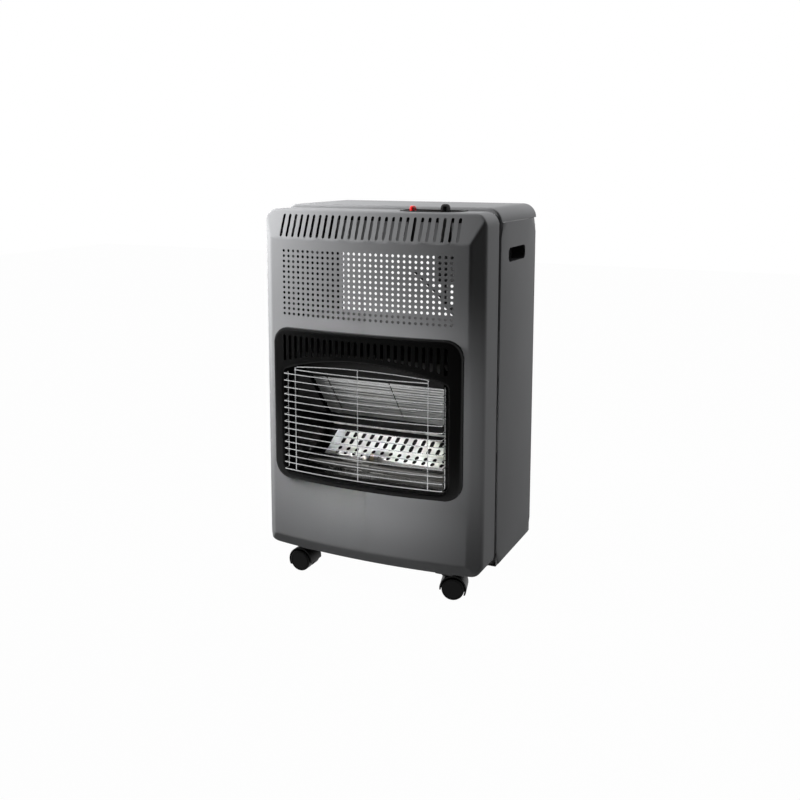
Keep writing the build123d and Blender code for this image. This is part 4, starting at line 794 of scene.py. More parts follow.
@dataclass(frozen=True)
class BrightSheet(Finish):
    """Rolled bright sheet with fine lines along the rolling direction and heat stains.

    Attributes:
        stain_tint: what the stains leave of red, green and blue.
        stain_from: noise at which a stain starts and is full.
    """

    cloud_mm: float = 38.0
    stain_tint: tuple = (0.80, 0.76, 0.70)
    stain_from: tuple = (0.45, 0.75)

    def dress(self, tree: NodeTree) -> None:
        """Adds rolling lines and warm stains.

        Args:
            tree: the material's nodes.
        """
        lines = tree.noise(self.grain_mm, detail=3.0, roughness=0.6, stretch=self.stretch)
        stain = tree.noise(self.cloud_mm, detail=3.0, roughness=0.6).step(*self.stain_from)
        warm = tuple(part * tint for part, tint in zip(self.colour, self.stain_tint))
        tree.feed("Base Color", tree.mix(stain * self.mottle, self.colour, warm))
        tree.feed("Roughness", (self.roughness + (lines - 0.5) * self.spread).clamped())
        tree.bump(lines, self.grain_depth_mm)


@dataclass(frozen=True)
class Gauze(Finish):
    """Woven steel strip, bright at its top and dark below a set height.

    Attributes:
        bright_from: height at which it turns bright.
        turn: height over which it does.
        dark: colour of the dark part.
        patch_mm: size of the patches in the bright part.
        patch_from: noise at which a patch starts and is full.
        patch_share: how far the patches darken it.
    """

    bright_from: float = 276.5
    turn: float = 1.0
    dark: tuple = (0.01, 0.01, 0.01)
    patch_mm: float = 16.0
    patch_from: tuple = (0.30, 0.70)
    patch_share: float = 0.7

    def dress(self, tree: NodeTree) -> None:
        """Adds the dark lower part and a fine weave.

        Args:
            tree: the material's nodes.
        """
        bright = tree.axis("Z").step((self.bright_from - self.turn / 2) * MM,
                                     (self.bright_from + self.turn / 2) * MM)
        patches = tree.noise(self.patch_mm, detail=2.0, roughness=0.5).step(*self.patch_from)
        share = bright * (patches * self.patch_share + (1.0 - self.patch_share))
        tree.feed("Base Color", tree.mix(share, self.dark, self.colour))
        tree.feed("Roughness", self.roughness)
        tree.bump(tree.noise(self.grain_mm, detail=1.0, roughness=0.5), self.grain_depth_mm)


CABINET_PAINT = FlakePaint("cabinet_grey_paint", "cabinet_paint", (0.190, 0.192, 0.196), 0.66,
                           spread=0.08, specular=0.12)
# Painted shade: the inner faces and cut edges of the front and side sheets are near black, standing
# in for the shade inside the cabinet.
INSIDE_PAINTED_SHADE = Finish("cabinet_inside_painted_shade", "cabinet_paint", (0.012, 0.012, 0.012), 0.8,
                      grain_mm=1.5, specular=0.0)
BLACK_PAINT = Finish("satin_black_paint", "black_paint", (0.006, 0.006, 0.006), 0.42,
                     grain_mm=1.6, grain_depth_mm=0.015, specular=0.3)
GLOSS_BLACK = Finish("gloss_black_enamel", "gloss_black", (0.003, 0.003, 0.003), 0.22,
                     grain_mm=3.5, specular=0.15)
HEATPROOF_BLACK = Finish("heatproof_black_paint", "heatproof_black", (0.010, 0.010, 0.010), 0.55,
                         grain_mm=0.9, grain_depth_mm=0.03)
CHROME = Finish("chrome_plating", "chrome_wire", (0.86, 0.87, 0.88), 0.26, spread=0.06,
                metallic=1.0, mottle=0.04, grain_mm=2.0, grain_depth_mm=0.004)
BRIGHT_SHEET = BrightSheet("bright_rolled_sheet", "bright_sheet", (0.80, 0.80, 0.79), 0.20,
                           spread=0.14, metallic=1.0, mottle=0.5, grain_mm=0.8,
                           grain_depth_mm=0.02, stretch=(40.0, 1.0, 1.0))
REFLECTOR_SHEET = BrightSheet("bright_reflector_sheet", "bright_sheet", (0.84, 0.84, 0.84), 0.42,
                              spread=0.16, metallic=1.0, mottle=0.4, grain_mm=0.7,
                              grain_depth_mm=0.02, stretch=(60.0, 1.0, 1.0))
BURNER_FACE = Finish("pale_burner_face", "bright_sheet", (0.86, 0.86, 0.85), 0.5, mottle=0.05,
                     grain_mm=1.0, grain_depth_mm=0.02)
BURNER_STEEL = BrightSheet("burner_plain_steel", "burner_steel", (0.50, 0.49, 0.48), 0.34,
                           spread=0.16, metallic=1.0, mottle=0.8, grain_mm=1.4,
                           grain_depth_mm=0.02, stretch=(12.0, 1.0, 1.0))
SCALED_STEEL = Finish("heat_scaled_steel", "burner_steel", (0.02, 0.019, 0.018), 0.65,
                      metallic=0.3, mottle=0.4, grain_mm=1.5, grain_depth_mm=0.03)
GAUZE = Gauze("bright_gauze", "burner_steel", (0.80, 0.80, 0.79), 0.35, metallic=0.6)
BRASS = Finish("plain_brass", "brass", (0.50, 0.42, 0.28), 0.34, metallic=1.0, grain_mm=0.8)
ALUMINIUM = Finish("drawn_aluminium", "aluminium", (0.66, 0.66, 0.67), 0.34, metallic=1.0,
                   grain_mm=1.0)
CERAMIC = Finish("white_ceramic", "ceramic", (0.78, 0.76, 0.70), 0.5, grain_mm=0.6)
ZINC_STEEL = Finish("zinc_plated_steel", "zinc_steel", (0.58, 0.58, 0.56), 0.30, metallic=1.0,
                    mottle=0.15, grain_mm=1.4)
BLACK_PLASTIC = Finish("moulded_black_plastic", "black_plastic", (0.012, 0.012, 0.013), 0.45,
                       grain_mm=0.5, grain_depth_mm=0.03)
WHEEL_PLASTIC = Finish("black_caster_nylon", "wheel_plastic", (0.003, 0.003, 0.003), 0.38,
                       grain_mm=0.6, grain_depth_mm=0.02, specular=0.12)
KNOB_PLASTIC = Finish("gloss_black_plastic", "knob_plastic", (0.004, 0.004, 0.004), 0.24,
                      grain_depth_mm=0.004, specular=0.3)
RED_PLASTIC = Finish("gloss_red_plastic", "red_plastic", (0.62, 0.012, 0.012), 0.22, coat=0.5,
                     grain_depth_mm=0.004)
LEAD_SHEATH = Finish("black_lead_sheath", "lead_sheath", (0.015, 0.015, 0.015), 0.5,
                     grain_mm=0.8, grain_depth_mm=0.02)

FINISH_OF_SLOT = {finish.slot: finish for finish in (
    CABINET_PAINT, BLACK_PAINT, GLOSS_BLACK, HEATPROOF_BLACK, CHROME, BRIGHT_SHEET, BURNER_STEEL,
    BRASS, ALUMINIUM, CERAMIC, ZINC_STEEL, BLACK_PLASTIC, WHEEL_PLASTIC, KNOB_PLASTIC,
    RED_PLASTIC, LEAD_SHEATH)}
FINISH_OF_NODE = {"burner_body": SCALED_STEEL, "guard_clips": GLOSS_BLACK}


# ------------------------------------------------------------------------------ making pieces
@dataclass
class Maker:
    """Turns surfaces into pieces that ride on the cabinet.

    Attributes:
        made: the pieces so far.
    """

    made: list = field(default_factory=list)

    @staticmethod
    def row(points: np.ndarray) -> np.ndarray:
        """Millimetres in the heater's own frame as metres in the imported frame."""
        return points * MM + np.array([0.0, FRONT_FACE_Y, 0.0])

    def piece(self, name: str, surface: Surface, finish: Finish, stands_for: str,
              wall: float = 0.0, facing: Facing | None = None, sharp_degrees: float = 32.0,
              inside: Finish | None = None) -> bpy.types.Object:
        """Makes one piece of the heater.

        Args:
            name: the piece's name.
            surface: its points and faces, in millimetres.
            finish: its finish.
            stands_for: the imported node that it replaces.
            wall: sheet thickness, added behind an open surface, or 0 for a closed one.
            facing: the side that an open surface's outer face looks to.
            sharp_degrees: edges that turn by more than this stay sharp.
            inside: another finish for the sheet's inner side and its cut edges.

        Returns:
            The new object.
        """
        mesh = bpy.data.meshes.new(name)
        faces = [row for array in surface.faces for row in array.tolist()]
        mesh.from_pydata(self.row(surface.points).tolist(), [], faces)
        self._weld(mesh, facing)
        piece = bpy.data.objects.new(name, mesh)
        bpy.context.scene.collection.objects.link(piece)
        for side in (finish, inside):
            if side is not None:
                mesh.materials.append(side.build())
        if wall:
            solid = piece.modifiers.new("wall", "SOLIDIFY")
            solid.thickness, solid.offset = wall * MM, -1.0
            solid.use_even_offset = True
            solid.thickness_clamp = 0.0
            solid.material_offset = solid.material_offset_rim = 1 if inside else 0
            self._apply(piece)
        self._smooth(piece.data, sharp_degrees)
        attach(piece, CABINET)
        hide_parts(stands_for)
        self.made.append(piece)
        LOG.info("%s: %d faces on %s", name, len(piece.data.polygons), CABINET)
        return piece

    @staticmethod
    def _weld(mesh: bpy.types.Mesh, facing: Facing | None) -> None:
        """Joins doubled points and turns the faces outwards.

        Args:
            mesh: the mesh that is changed.
            facing: the side that an open sheet's faces look to on the whole.
        """
        work = bmesh.new()
        work.from_mesh(mesh)
        bmesh.ops.remove_doubles(work, verts=work.verts, dist=SAME_POINT_M)
        bmesh.ops.dissolve_degenerate(work, edges=work.edges, dist=SLIVER_M)
        bmesh.ops.recalc_face_normals(work, faces=work.faces)
        if facing is not None:
            look = Vector(facing.value)
            if sum(f.normal.dot(look) * f.calc_area() for f in work.faces) < 0.0:
                bmesh.ops.reverse_faces(work, faces=work.faces)
        work.to_mesh(mesh)
        work.free()

    @staticmethod
    def _apply(piece: bpy.types.Object) -> None:
        """Puts the modifiers' result in place of a piece's mesh.

        Args:
            piece: the piece that is changed.
        """
        graph = bpy.context.evaluated_depsgraph_get()
        solid = bpy.data.meshes.new_from_object(piece.evaluated_get(graph))
        piece.modifiers.clear()
        piece.data = solid

    @staticmethod
    def _smooth(mesh: bpy.types.Mesh, sharp_degrees: float) -> None:
        """Smooth shading that keeps the edges that turn by more than an angle."""
        mesh.polygons.foreach_set("use_smooth", np.ones(len(mesh.polygons), bool))
        mesh.set_sharp_from_angle(angle=math.radians(sharp_degrees))

    @staticmethod
    def dress_nodes(nodes: dict, record: dict) -> None:
        """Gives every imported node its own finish, or that of its slot in the record.

        Args:
            nodes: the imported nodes, by name.
            record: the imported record.
        """
        slots = {part["node"]: part["material_slot"] for part in record["subparts"]}
        for name, node in nodes.items():
            node.data.materials.clear()
            finish = FINISH_OF_NODE.get(name, FINISH_OF_SLOT[slots[name]])
            node.data.materials.append(finish.build())


# ------------------------------------------------------------------------------ front panel
@dataclass
class FrontPanel:
    """The pressed steel front: bowed face, bevelled surround, slots, holes and window.

    Attributes:
        half_width, corner, depth: outline, its corners' radius and how deep its sides reach.
        low, high: heights of its lower and upper edge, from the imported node.
        bow_radius: radius of the bowed face.
        field_half_width, side_turn: where the bevels at its sides start, and how much steeper
            than the bow they are there.
        lower_bevel, lower_depth: height and depth of the bevel at its foot.
        upper_slope, upper_depth: height and depth of the slope that holds the slots.
        crest: radius of the eased creases.
        edge, lip, sheet: radius of its edge, width of the lip behind, and sheet thickness.
        wall_rows, edge_step, corner_steps: rows of points in its drawn sides, the widest gap
            between them, and the steps of a corner.
        hole_columns, hole_rows, hole_pitch, hole_radius, hole_top: the grid of round holes.
        slot_count, slot_pitch, slot_width, slot_span, slot_field_half: the row of slots.
        window: the window's half width, low and high side, and corner radius.
        plate_spare, plate_corner, rim_skin: how the top rim is cut under the control plate.
        field_half, field_columns, field_rows, foot, field_top: the mesh's lattice on the field.
        bevel_columns, foot_rows, crease_rows: (start, end, count) of its rows at the creases;
            those at the foot count from the lower edge.
        top_rows, top_spare: (start, count) of the uppermost rows, and their end below the edge.
        corner_start, corner_columns, corner_foot, corner_top: the lattices in the corners.
        clear_window, clear_holes, clear_above_holes, clear_slots, clear_edge: how far those
            points stay from the openings and from the edge.
    """

    half_width: float = 228.0
    low: float = field(init=False)
    high: float = field(init=False)
    corner: float = 24.0
    depth: float = 101.0
    bow_radius: float = 1322.6
    field_half_width: float = 206.0
    side_turn: float = 0.84
    lower_bevel: float = 25.0
    lower_depth: float = 15.0
    upper_slope: float = 54.5
    upper_depth: float = 22.0
    crest: float = 9.0
    edge: float = 4.2
    lip: float = 12.0
    sheet: float = 1.0
    wall_rows: int = 36
    edge_step: float = 10.0
    corner_steps: int = 10
    hole_columns: int = 32
    hole_rows: int = 13
    hole_pitch: tuple = (11.13, 10.07)
    hole_radius: float = 2.75
    hole_top: float = 650.7
    slot_count: int = 27
    slot_pitch: float = 13.9
    slot_width: float = 5.5
    slot_span: tuple = (677.0, 719.6)
    slot_field_half: float = 191.0
    window: tuple = (184.0, 213.0, 491.4, 22.0)
    plate_spare: float = 2.6
    plate_corner: float = 30.0
    rim_skin: float = 1.0
    field_half: float = 198.0
    field_columns: int = 37
    field_rows: int = 52
    foot: float = 33.0
    field_top: float = 668.0
    bevel_columns: tuple = ((199.5, 212.5, 9), (215.0, 226.0, 5))
    foot_rows: tuple = (1.0, 31.0, 15)
    crease_rows: tuple = (670.0, 676.0, 7)
    top_rows: tuple = (720.9, 4)
    top_spare: float = 2.0
    corner_start: float = 193.5
    corner_columns: int = 16
    corner_foot: tuple = (0.0, 32.0, 16)
    corner_top: tuple = (669.0, 25)
    clear_window: float = 4.0
    clear_holes: float = 3.0
    clear_above_holes: float = 8.0
    clear_slots: float = 1.5
    clear_edge: float = 1.6

    def __post_init__(self) -> None:
        """Takes the outline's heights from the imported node."""
        low, high = local_box("front_panel")
        self.low, self.high = float(low[2]), float(high[2])

    def height(self, x: np.ndarray, z: np.ndarray) -> np.ndarray:
        """Depth of the face.

        The bow is a cylinder whose radius shrinks by the slope's depth above and below the field.
        The bevels at the sides are planes at 45 degrees. The deeper of the two counts, and each
        crease is eased over the crest's radius times the square of the slopes' difference over 2.

        Args:
            x: places across.
            z: places up.

        Returns:
            The depth at each place.
        """
        upper_share = self.upper_depth / self.upper_slope
        lower_share = self.lower_depth / self.lower_bevel
        up = (z - self.high + self.upper_slope) * upper_share
        down = (self.low + self.lower_bevel - z) * lower_share
        shrink = eased_max(eased_max(up, 0.0 * z, self.crest * upper_share**2 / 2), down,
                           self.crest * lower_share**2 / 2)
        bow = self.bow_radius - np.sqrt((self.bow_radius - shrink) ** 2 - x**2)
        bevel = np.abs(x) - self.field_half_width + bowed(self.bow_radius, self.field_half_width)
        return eased_max(bow, bevel, self.crest * self.side_turn**2 / 2)

    def inner_points(self, outline: Loop) -> np.ndarray:
        """Points that carry the curvature: a loose lattice, and close rows along the creases.

        Args:
            outline: the loop that the points lie in.

        Returns:
            One row of x and z per point.
        """
        low, high = self.low, self.high
        window_half, window_low, window_high, _ = self.window
        holes_half = self.hole_columns * self.hole_pitch[0] / 2
        holes_low = self.hole_top - (self.hole_rows - 0.5) * self.hole_pitch[1]
        window, holes, slots = self.clear_window, self.clear_holes, self.clear_slots
        closed = [
            (-window_half - window, window_half + window, window_low - window,
             window_high + window),
            (-holes_half - holes, holes_half + holes, holes_low - holes,
             self.hole_top + self.clear_above_holes),
            (-self.slot_field_half, self.slot_field_half, self.slot_span[0] - slots,
             self.slot_span[1] + slots),
        ]
        field_x = np.linspace(-self.field_half, self.field_half, self.field_columns)
        field_z = np.linspace(low + self.foot, self.field_top, self.field_rows)
        bevel_x = np.concatenate([np.linspace(*columns) for columns in self.bevel_columns])
        top_z = np.linspace(self.top_rows[0], high - self.top_spare, self.top_rows[1])
        crease_z = np.concatenate([low + np.linspace(*self.foot_rows),
                                   np.linspace(*self.crease_rows), top_z])
        corner_x = np.linspace(self.corner_start, self.half_width, self.corner_columns)
        corner_z = np.concatenate([low + np.linspace(*self.corner_foot),
                                   np.linspace(self.corner_top[0], high, self.corner_top[1])])
        every = np.vstack([
            outside_boxes(lattice(field_x, field_z), closed),
            lattice(np.concatenate([-bevel_x[::-1], bevel_x]), field_z),
            outside_boxes(lattice(field_x, crease_z), closed[2:]),
            lattice(np.concatenate([-corner_x[::-1], corner_x]), corner_z),
        ])
        return on_one_side(every, outline, self.clear_edge)

    def surface(self) -> Surface:
        """The panel's outer surface, with every opening.

        Returns:
            An open surface.
        """
        outline = rounded_loop(self.half_width, self.low, self.high, self.corner, self.edge_step,
                               self.corner_steps)
        rim = Rim(outline, self.edge, self.depth, self.lip, rows=self.wall_rows)
        xs = evenly(self.hole_columns, self.hole_pitch[0])
        zs = self.hole_top - np.arange(self.hole_rows) * self.hole_pitch[1]
        holes = [circle_loop(x, z, self.hole_radius) for z in zs for x in xs]
        holes += [slot_loop(x, *self.slot_span, self.slot_width)
                  for x in evenly(self.slot_count, self.slot_pitch)]
        holes.append(rounded_loop(*self.window))
        sheet = PressedSheet(rim, self.height, holes, inner=self.inner_points(rim.inner()))
        return self.cut_for_controls(sheet.surface(from_front))

    def cut_for_controls(self, skin: Surface) -> Surface:
        """Takes the top rim away below the control plate, within the plate's rounded flange.

        Args:
            skin: the whole panel.

        Returns:
            The panel without the faces that lie there.
        """
        (left, front, _), (right, _, _) = local_box("control_plate")
        inset = self.plate_spare + self.plate_corner
        faces = []
        for quads in skin.faces:
            x, y, z = np.moveaxis(skin.points[quads], -1, 0)
            beside = np.abs(x - (left + right) / 2) - (right - left) / 2 + inset
            before = front + inset - y
            inside = np.hypot(np.maximum(beside, 0), np.maximum(before, 0)) < self.plate_corner
            faces.append(quads[~(inside & (z > self.high - self.rim_skin)).all(1)])
        return Surface(skin.points, faces)

    def make(self, maker: Maker) -> None:
        """Makes the panel's piece."""
        # The inner side and the walls of the holes and slots get the near-black painted shade.
        maker.piece("front_panel_skin", self.surface(), CABINET_PAINT, "front_panel",
                    wall=self.sheet, facing=Facing.FRONT, sharp_degrees=38.0, inside=INSIDE_PAINTED_SHADE)


# ------------------------------------------------------------------------------ sides
@dataclass
class SidePanel:
    """A cabinet side: a flat sheet with a carrying slot, bent in at its front and back edge.

    Attributes:
        sheet, fold, bend: thickness, width of the folded edges and radius of the folds.
        slot_length, slot_height, slot_corner: the carrying slot.
        slot_from_back, slot_below_top: place of the slot's middle.
        edge_step, rows: the mesh's widest gap at its edge, and its rows.
        out, front, back, low, high: its outer face, edges and heights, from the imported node.
    """

    sheet: float = 1.0
    fold: float = 15.0
    bend: float = 1.8
    slot_length: float = 100.0
    slot_height: float = 26.5
    slot_corner: float = 9.0
    slot_from_back: float = 118.8
    slot_below_top: float = 62.5
    edge_step: float = 30.0
    rows: int = 24
    out: float = field(init=False)
    front: float = field(init=False)
    back: float = field(init=False)
    low: float = field(init=False)
    high: float = field(init=False)

    def __post_init__(self) -> None:
        """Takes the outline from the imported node."""
        (_, self.front, self.low), (self.out, self.back, self.high) = local_box("side_panel_right")

    def surface(self) -> Surface:
        """The right-hand side's outer surface: unrolled as (way, z), then put on its section.

        Returns:
            An open surface.
        """
        plan = channel(self.out, self.front, self.back, self.fold, self.bend)
        way = way_along(plan)
        edge = rectangle(0.0, way[-1], self.low, self.high, self.edge_step)
        half_height = self.slot_height / 2
        slot = rounded_loop(self.slot_length / 2, -half_height, half_height, self.slot_corner)
        slot_way = np.interp(self.back - self.slot_from_back, plan[1:-1, 1], way[1:-1])
        slot = slot + (slot_way, self.high - self.slot_below_top)
        points = lattice(way[1:-1], np.linspace(self.low, self.high, self.rows)[1:-1])

        def place(flat: np.ndarray) -> np.ndarray:
            """Puts (way, z) on the folded section."""
            return np.column_stack([np.interp(flat[:, 0], way, plan[:, 0]),
                                    np.interp(flat[:, 0], way, plan[:, 1]), flat[:, 1]])

        return PressedSheet(Rim(edge), level, [slot], inner=points).surface(place)

    def make(self, maker: Maker) -> None:
        """Makes both sides.

        Args:
            maker: makes the pieces.
        """
        right = self.surface()
        for name, surface, facing in (("right", right, Facing.RIGHT),
                                      ("left", right.mirrored(), Facing.LEFT)):
            # The inner side and the slot's walls get the near-black painted shade.
            maker.piece(f"side_skin_{name}", surface, CABINET_PAINT, f"side_panel_{name}",
                        wall=self.sheet, facing=facing, sharp_degrees=30.0, inside=INSIDE_PAINTED_SHADE)


@dataclass
class RearBrace:
    """The painted rail across the top of the open back: a channel with its flanges inwards.

    Attributes:
        sheet: thickness.
        bend: outer radius of the two folds.
        flange: width of the flanges.
        rise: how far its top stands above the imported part's, up to the lid's edge, so that the
            slots in front show paint and no daylight.
        columns: how many points it has across.
    """

    sheet: float = 1.0
    bend: float = 2.0
    flange: float = 12.0
    rise: float = 5.0
    columns: int = 9

    def surface(self) -> Surface:
        """The outer surface: the folded section, the same at every x.

        Returns:
            An open surface.
        """
        (left, _, low), (right, back, high) = local_box("rear_brace")
        section = channel(back, low, high + self.rise, self.flange, self.bend)
        x = np.linspace(left, right, self.columns)[None, :]
        return grid_surface(x, section[:, :1], section[:, 1:])

    def make(self, maker: Maker) -> None:
        """Makes the brace."""
        maker.piece("rear_brace_skin", self.surface(), CABINET_PAINT, "rear_brace",
                    wall=self.sheet, facing=Facing.BACK, sharp_degrees=30.0)


# ------------------------------------------------------------------------------ bezel
@dataclass
class Bezel:
    """The glossy surround of the window: bowed face, slots along an arch, drawn opening.

    Attributes:
        bow_radius, panel_radius: radius of its face, and of the panel that it sits on.
        corner, edge, wall: its corners' radius, its edge's radius, and its thickness.
        skirt_gap: how far its skirt stands off the panel.
        slot_count, slot_pitch, slot_width: the row of slots.
        slot_top: the slots' upper ends.
        slot_crown, slot_arch_radius: the arch that their lower ends lie on.
        opening_half, opening_low: half width and foot of the opening.
        opening_side_top, opening_crown: where its sides end, and the top of its arch.
        lower_corner, upper_corner: its corners' radii.
        opening_edge, collar_end: radius of its drawn edge, and where its collar ends.
        edge_step, corner_steps: the widest gap in the mesh's edges, and steps of a corner.
        opening_steps: steps of the opening's lower corners, upper corners and arch.
        columns, rows: the mesh's lattice.
        clear_edge, clear_slots: how far the lattice stays from the edges and the slots.
        half, front, low, high: half width, foremost place and heights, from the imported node.
    """

    bow_radius: float = 930.0
    panel_radius: float = 1322.6
    corner: float = 33.0
    edge: float = 6.0
    wall: float = 2.5
    skirt_gap: float = 0.2
    slot_count: int = 26
    slot_pitch: float = 13.34
    slot_width: float = 6.4
    slot_top: float = 490.2
    slot_crown: float = 461.5
    slot_arch_radius: float = 643.0
    opening_half: float = 171.7
    opening_low: float = 219.0
    opening_side_top: float = 421.0
    opening_crown: float = 450.0
    lower_corner: float = 20.0
    upper_corner: float = 12.0
    opening_edge: float = 4.5
    collar_end: float = 22.7
    edge_step: float = 9.0
    corner_steps: int = 12
    opening_steps: tuple = (8, 6, 30)
    columns: int = 49
    rows: int = 38
    clear_edge: float = 3.0
    clear_slots: float = 2.5
    half: float = field(init=False)
    front: float = field(init=False)
    low: float = field(init=False)
    high: float = field(init=False)

    def __post_init__(self) -> None:
        """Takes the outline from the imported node."""
        (_, self.front, self.low), (self.half, _, self.high) = local_box("bezel")

    def height(self, x: np.ndarray, z: np.ndarray) -> np.ndarray:
        """Depth of the bowed face, a cylinder about an upright axis."""
        return self.front + bowed(self.bow_radius, x) + 0.0 * z

    def opening(self) -> Loop:
        """The opening's edge: straight sides and foot, an arched top, and rounded corners.

        The arch's radius is (half^2 + rise^2) / (2 rise). Its ends meet the upper corners, which
        turn only as far as the arch slopes there.

        Returns:
            An anticlockwise loop.
        """
        half, r_low, r_up = self.opening_half, self.lower_corner, self.upper_corner
        rise = self.opening_crown - self.opening_side_top
        radius = (half**2 + rise**2) / (2 * rise)
        turn = 90.0 - math.degrees(math.asin(half / radius))
        side = self.opening_side_top - r_up * math.tan(math.radians(turn / 2))
        end_x = half - r_up + r_up * math.cos(math.radians(turn))
        lean = math.degrees(math.asin(end_x / radius))
        foot = self.opening_low + r_low
        low_steps, up_steps, arch_steps = self.opening_steps
        arch = arc((0, self.opening_crown - radius), radius, 90 - lean, 90 + lean, arch_steps)
        loop = np.vstack([
            arc((half - r_low, foot), r_low, -90, 0, low_steps),
            arc((half - r_up, side), r_up, 0, turn, up_steps),
            arch[1:-1],
            arc((r_up - half, side), r_up, 180 - turn, 180, up_steps),
            arc((r_low - half, foot), r_low, 180, 270, low_steps),
        ])
        return dense(loop, self.edge_step)

    def surface(self) -> Surface:
        """The bezel's outer surface, with its skirt on the panel and its collar.

        Returns:
            An open surface.
        """
        outline = rounded_loop(self.half, self.low, self.high, self.corner, self.edge_step,
                               self.corner_steps)
        skirt_end = bowed(self.panel_radius, outline[:, 0]) - self.skirt_gap
        rim = Rim(outline, self.edge, skirt_end, steps=8)
        mouth = Rim(self.opening(), self.opening_edge, self.collar_end, hole=True)
        slots = evenly(self.slot_count, self.slot_pitch)
        lows = self.slot_crown - bowed(self.slot_arch_radius, slots)
        holes = [slot_loop(x, low, self.slot_top, self.slot_width) for x, low in zip(slots, lows)]
        inner = lattice(np.linspace(-self.half, self.half, self.columns),
                        np.linspace(self.low, self.high, self.rows))
        inner = on_one_side(inner, rim.inner(), self.clear_edge)
        inner = on_one_side(inner, mouth.inner(), self.clear_edge, inside=False)
        for hole in holes:
            inner = on_one_side(inner, hole, self.clear_slots, inside=False)
        return PressedSheet(rim, self.height, holes, [mouth], inner).surface(from_front)

    def make(self, maker: Maker) -> None:
        """Makes the bezel's piece."""
        maker.piece("bezel_shell", self.surface(), GLOSS_BLACK, "bezel", wall=self.wall,
                    facing=Facing.FRONT, sharp_degrees=38.0)


# ------------------------------------------------------------------------------ guard
@dataclass
class Guard:
    """The chrome wire guard: bowed wires, three uprights behind them and two side wires.

    Attributes:
        wire: the wires' radius.
        bow_radius, reach: radius of the bow, and how far it stands before the panel.
        half, back: where the bowed wires' ends run back, and how far.
        low, pitch, count: the lowest bowed wire's height, their pitch and their number.
        bend, bend_swell: reach of their bends, and how far these swell back.
        upright_x, upright_bend: place of the outer uprights, and reach of their upper bend.
        setback: how far the uprights' upper ends run back.
        short_rise, arch_rise, arch_crown: heights over the last bowed wire of the short wire and
            of the arched one, and how far the arch rises in its middle.
        bow_points, bend_points, arch_points: points along a bow, a bend and an upper wire.
    """

    wire: float = 1.0
    bow_radius: float = 1067.0
    reach: float = 22.0
    half: float = 164.0
    back: float = 6.2
    low: float = 228.4
    pitch: float = 13.47
    count: int = 15
    bend: float = 4.0
    bend_swell: float = 0.6
    upright_x: float = 137.5
    upright_bend: float = 2.5
    setback: float = 8.0
    short_rise: float = 9.5
    arch_rise: float = 13.0
    arch_crown: float = 7.5
    bow_points: int = 45
    bend_points: int = 6
    arch_points: int = 31

    def front(self, x: np.ndarray) -> np.ndarray:
        """Depth of the bowed wires at x."""
        return bowed(self.bow_radius, x) - self.reach

    def bow(self, z: float) -> Surface:
        """One full wire: its bowed front, a small bend at each end, and ends that run back.

        The bend's x is half - bend * (1 - t)^2, and its y is bend * t^2 plus a swell t * (1 - t).

        Args:
            z: its height.

        Returns:
            A closed surface.
        """
        x = np.linspace(self.bend - self.half, self.half - self.bend, self.bow_points)
        y = self.front(x)
        t = np.linspace(0.0, 1.0, self.bend_points)[1:]
        right = np.column_stack([self.half - self.bend * (1 - t) ** 2,
                                 y[-1] + self.bend * t**2 + self.bend_swell * t * (1 - t)])
        right = np.vstack([right, [[self.half, self.back]]])
        flat = np.vstack([right[::-1] * (-1, 1), np.column_stack([x, y]), right])
        return tube(np.column_stack([flat, np.full(len(flat), z)]), self.wire, (0, 0, 1))

    def upright(self, x: float, high: float) -> Surface:
        """A wire behind the front wires that bends back at its top.

        Args:
            x: its place.
            high: its top.

        Returns:
            A closed surface.
        """
        front = float(self.front(np.array(x)))
        y, r = front + 2 * self.wire, self.upright_bend
        t = np.linspace(0.0, 1.0, self.bend_points)[:, None]
        bend = eased_corner((y, high - r), (y, high), (y + r, high), t)
        flat = np.vstack([[(y, self.low - self.wire)], bend, [(front + self.setback, high)]])
        return tube(np.column_stack([np.full(len(flat), x), flat]), self.wire, (1, 0, 0))

    def top_wire(self, setback: float, low: float, rise: float) -> Surface:
        """A wire between the outer uprights, on a parabola: low + rise * (1 - (x / end)^2).

        Args:
            setback: how far it lies behind the bowed wires' front.
            low: height of its ends.
            rise: how far its middle stands above them.

        Returns:
            A closed surface.
        """
        x = np.linspace(-self.upright_x, self.upright_x, self.arch_points)
        z = low + rise * (1 - (x / self.upright_x) ** 2)
        return tube(np.column_stack([x, self.front(x) + setback, z]), self.wire, (0, 0, 1))

    def make(self, maker: Maker) -> None:
        """Makes the guard as one piece.

        Args:
            maker: makes the piece.
        """
        top = self.low + (self.count - 1) * self.pitch
        arch = top + self.arch_rise
        wires = [self.bow(self.low + index * self.pitch) for index in range(self.count)]
        wires += [self.upright(-self.upright_x, arch), self.upright(self.upright_x, arch),
                  self.upright(0.0, arch + self.arch_crown),
                  self.top_wire(0.0, top + self.short_rise, 0.0),
                  self.top_wire(self.setback, arch, self.arch_crown)]
        for x in (-self.half, self.half):
            ends = [(x, self.back, self.low - self.wire), (x, self.back, top + self.wire)]
            wires.append(tube(np.array(ends), self.wire, (1, 0, 0)))
        maker.piece("guard_wires", joined(wires), CHROME, "guard", sharp_degrees=60.0)


